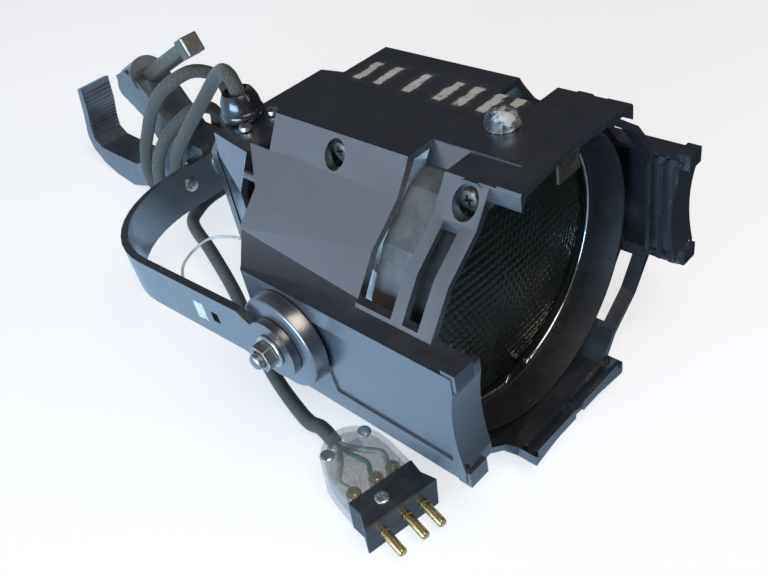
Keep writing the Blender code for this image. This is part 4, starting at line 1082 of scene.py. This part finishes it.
def make_pivots(m):
    disc = [(0, 0), (0, 28.6), (0.5, 29.0), (8.4, 28.5), (9.1, 28.0), (9.5, 27.0), (9.5, 0)]
    washer = [(0, 5.2), (0, 9.8), (0.2, 10.0), (1.3, 10.0), (1.6, 9.7), (1.6, 5.4)]
    for side, word, length in ((-1, "left", NUT_BOLT), (1, "right", KNOB_BOLT)):
        face = Vector((side, 0, 0))
        bolt = threaded(length, 4.7, 0.28, 1.25)
        pieces = (("disc", DISC_SIDE, disc, 96, "casting", "housing", "black_casting", 35.0),
                  ("washer", WASHER_SIDE, washer, 48, "zinc", "yoke", "zinc", 40.0),
                  ("bolt", BOLT_SIDE, bolt, 28, "dark_zinc", "housing", "zinc", 60.0))
        for name, away, profile, sides, finish, body, slot, sharp in pieces:
            bm = bmesh.new()
            add_turned(bm, lamp(0, 0, PIVOT_UP) + face * away * MM, face, profile, sides)
            add_finished("pivot_%s_%s" % (name, word), bm, m[finish], body, slot, sharp)
    soften("pivot_nut_left", "housing", "zinc", [m["dark_zinc"], m["zinc"]], 0.5)
    soften("tilt_knob", "knob", "black_plastic", [m["black_plastic"]] * 2, 0.8, 34.0)


def threaded(length, radius, depth, pitch):
    """Profile of a rod with ring-like threads along it."""
    profile = [(0, 0), (0, radius - 2 * depth), (0.5, radius - depth)]
    along = 0.6
    while along < length - 1.6:
        profile += [(along, radius - depth), (along + pitch * 0.5, radius)]
        along += pitch
    return profile + [(length - 0.8, radius - depth), (length, radius - 3 * depth), (length, 0)]


YOKE_SCREW_PLACE = (-35.0, 7.8)   # side and height of the screw through the crossbar
LABEL = (61.0, 71.0, -3.0, 9.5)   # back and height of the label's edges on the arm


def make_yoke(m):
    soften("yoke", "yoke", "black_steel", [m["steel"], m["steel_edge"]], 0.6, 30.0)
    side, high = YOKE_SCREW_PLACE
    start = yoke(side, YOKE_BACK - STRAP - 3.2, high) + YOKE_ALONG * 2.9 * MM
    add_screw("yoke_screw", "yoke", start, -YOKE_ALONG, 5.2, 2.9, m["zinc"])
    label = bmesh.new()
    add_prism(label, rectangle(*LABEL), lambda a, b, c: yoke(-c, a, b), STRAP_OUTER - 0.05,
              STRAP_OUTER + 0.12)
    finish_piece(add_object("blank_label", label, [m["label"]]), "yoke", "black_steel")


def make_tie(m):
    """Pale cable tie's tail, which curls in from the near arm."""
    tail = [(-117.3, 92, -4), (-105.8, 110, 8), (-85.8, 108, 16), (-73.8, 96, 15), (-67.8, 84, 10)]
    bm = bmesh.new()
    add_tube(bm, smooth_run([yoke(*place) for place in tail], 12), 0.9, 8)
    add_finished("cable_tie", bm, m["pale_plastic"], "yoke", "pale_plastic", 60.0)


# clamp

TEETH = 12
TOOTH_HALF = 13.2
TEETH_START = (186.4, -4.0)       # back and height of the first tooth, at the hook's tip
TEETH_RUN = (-15.6, 40.0)


def make_clamp(m):
    soften("clamp_body", "clamp", "cast_iron", [m["iron"]] * 2, 1.4, 30.0, 3)
    teeth = bmesh.new()
    for step in range(TEETH):
        share = step / (TEETH - 1)
        back, high = (start + run * share for start, run in zip(TEETH_START, TEETH_RUN))
        outline = [(back - 2.0, high - 0.8), (back + 1.0, high - 1.5), (back + 1.0, high + 1.5)]
        add_prism(teeth, outline, lambda a, b, c: clamp_place(c, a, b), -TOOTH_HALF, TOOTH_HALF)
    finish_piece(add_object("clamp_teeth", teeth, [m["iron"]]), "clamp", "cast_iron")
    soften("pipe_bolt", "pipe_bolt", "worn_steel", [m["worn_steel"], m["dark_zinc"]], 0.6, 34.0)
    soften("clamp_set_screw", "set_screw", "zinc", [m["dark_zinc"], m["zinc"]], 0.5, 34.0)
    soften("spigot_head", "yoke", "zinc", [m["dark_zinc"], m["zinc"]], 0.5)
    soften("spigot_washer", "yoke", "zinc", [m["dark_zinc"], m["zinc"]], 0.3, 34.0)
    dress("spigot_bolt", m["worn_steel"])


# plug

VERTICAL = (0, 0, 1)
COVER_SCREWS = (-13.5, 13.5)
COVER_SCREW_AHEAD = -44.0
TERMINAL_AHEAD = -18.0


def make_plug(m):
    """Clear cover over the terminals and wires, and the block that carries the pins."""
    cover = soften("plug_cover", "housing", "clear_plastic", [m["clear"]] * 2, 1.6, 34.0, 3)
    block = soften("plug_block", "housing", "black_plastic", [m["black_plastic"]] * 2, 0.7)
    pieces = [cover, block]
    for index, side in enumerate(CONTACT_SIDES, 1):
        pieces.append(make_pin(m, index, side))
        pieces.append(make_terminal(m, index, side))
    for index, side in enumerate(COVER_SCREWS):
        place = plug(side, COVER_SCREW_AHEAD, PLUG_THICK + 0.3)
        pieces.append(add_screw("plug_cover_screw_%d" % (index + 1), "housing", place, VERTICAL, 4.4,
                                1.6, m["zinc"], SLOT, 0.7 + index))
    place = plug(-6.0, 0.0, PLUG_THICK + 0.9)
    pieces.append(add_screw("plug_block_screw", "housing", place, VERTICAL, 4.2, 1.4, m["zinc"]))
    pieces.append(make_block_marks(m))
    return pieces + make_wires(m)


def make_pin(m, index, side):
    """Turned brass pin, split along its length so that it grips."""
    profile = [(0, 0), (0, 2.9), (1.2, 2.9), (1.4, 2.7), (2.0, 2.7), (2.2, 2.9), (16.6, 2.9),
               (17.6, 2.4), (18.0, 1.6), (18.0, 0)]
    bm = bmesh.new()
    add_turned(bm, plug(side, 10.3, PLUG_MIDDLE), PLUG_AHEAD, profile, 28)
    pin = add_object("plug_pin_%d_finished" % index, bm, [m["brass"]], ROUND_EDGE)
    slit = bmesh.new()
    add_prism(slit, rectangle(side - 0.4, side + 0.4, 15.0, 32.0), plug, 6.0, 20.0)
    cut_away(pin, add_object("slit", slit, [m["brass"]]), ROUND_EDGE)
    return finish_piece(pin, "housing", "brass", "plug_pin_%d" % index)


def make_terminal(m, index, side):
    """Brass terminal with a slotted screw on top."""
    profile = [(0, 0), (0, 4.4), (0.3, 4.6), (8.7, 4.6), (9, 4.3), (9, 3.4), (10.9, 3.4), (11.4, 2.8),
               (11.5, 0)]
    bm = bmesh.new()
    add_turned(bm, plug(side, TERMINAL_AHEAD, PLUG_MIDDLE - 4), VERTICAL, profile)
    terminal = add_object("plug_terminal_%d_finished" % index, bm, [m["brass"]], ROUND_EDGE)
    turn = 0.5 + 0.9 * index
    cosine = math.cos(turn)
    sine = math.sin(turn)

    def place(a, b, c):
        return plug(side + a * cosine - b * sine, TERMINAL_AHEAD + a * sine + b * cosine, c)

    slot = bmesh.new()
    add_prism(slot, rectangle(-4.0, 4.0, -0.45, 0.45), place, 19.2, 22.0)
    cut_away(terminal, add_object("slot", slot, [m["brass"]]), ROUND_EDGE)
    return finish_piece(terminal, "housing", "brass", "plug_terminal_%d" % index)


BLOCK_BARS = ((-16.5, 3.5, 2.6), (-16.5, -3.5, 2.6), (3.0, 3.5, 2.2), (3.0, -3.5, 2.2),
              (14.0, 3.5, 3.4), (14.0, 0.0, 3.4), (14.0, -3.5, 3.4))     # side, ahead, half length


def make_block_marks(m):
    """Plain raised bars on top of the block."""
    bm = bmesh.new()
    for side, ahead, half in BLOCK_BARS:
        outline = rectangle(side - half, side + half, ahead - 0.7, ahead + 0.7)
        add_prism(bm, outline, plug, PLUG_THICK + 0.4, PLUG_THICK + 1.0)
    bars = add_object("plug_block_bars", bm, [m["black_plastic"]])
    return finish_piece(bars, "housing", "black_plastic")


def make_wires(m):
    """The lead's three wires inside the clear cover, and the clip that holds the lead."""
    kinds = (("white_wire", 1.9, 0.0), ("green_wire", 1.5, 2.5), ("white_wire", 1.9, 0.0))
    wires = []
    for index, (side, (finish, radius, shift)) in enumerate(zip(CONTACT_SIDES, kinds), 1):
        run = [(side * 0.12, -55.5, 12.5), (side * 0.2, -50.0, 14.5), (side * 0.5, -41.0, 17.0),
               (side * 1.12 + shift, -31.0, 16.5), (side * 1.02, -24.0, 15.5), (side, -22.9, 15.0)]
        bm = bmesh.new()
        add_tube(bm, smooth_run([plug(*place) for place in run], 8), radius)
        wire = add_object("wire_%d" % index, bm, [m[finish]], 60.0)
        wires.append(finish_piece(wire, "housing", "braided_sleeve"))
    bm = bmesh.new()
    add_prism(bm, rectangle(-9.5, 9.5, -46.5, -40.5), plug, 18.9, 20.9)
    clip = add_object("cord_clip", bm, [m["clear"]])
    return wires + [finish_piece(clip, "housing", "clear_plastic")]


def build():
    add_camera()
    m = make_materials()
    cord, path, length = add_cord(m)
    plug_pieces = make_plug(m)
    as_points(path)
    for make in (make_barrel, make_seam_knob, make_lens, make_lens_ring, make_lens_wire, make_rear,
                 make_gland, make_pivots, make_yoke, make_tie, make_clamp):
        make(m)
    add_floor()
    add_lights()
    add_world()
    scene.view_settings.view_transform = "Standard"


def plain(box):
    return [[float(value) for value in corner] for corner in box]


build()
{"cad": plain(cad_box), "visual": plain(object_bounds())}
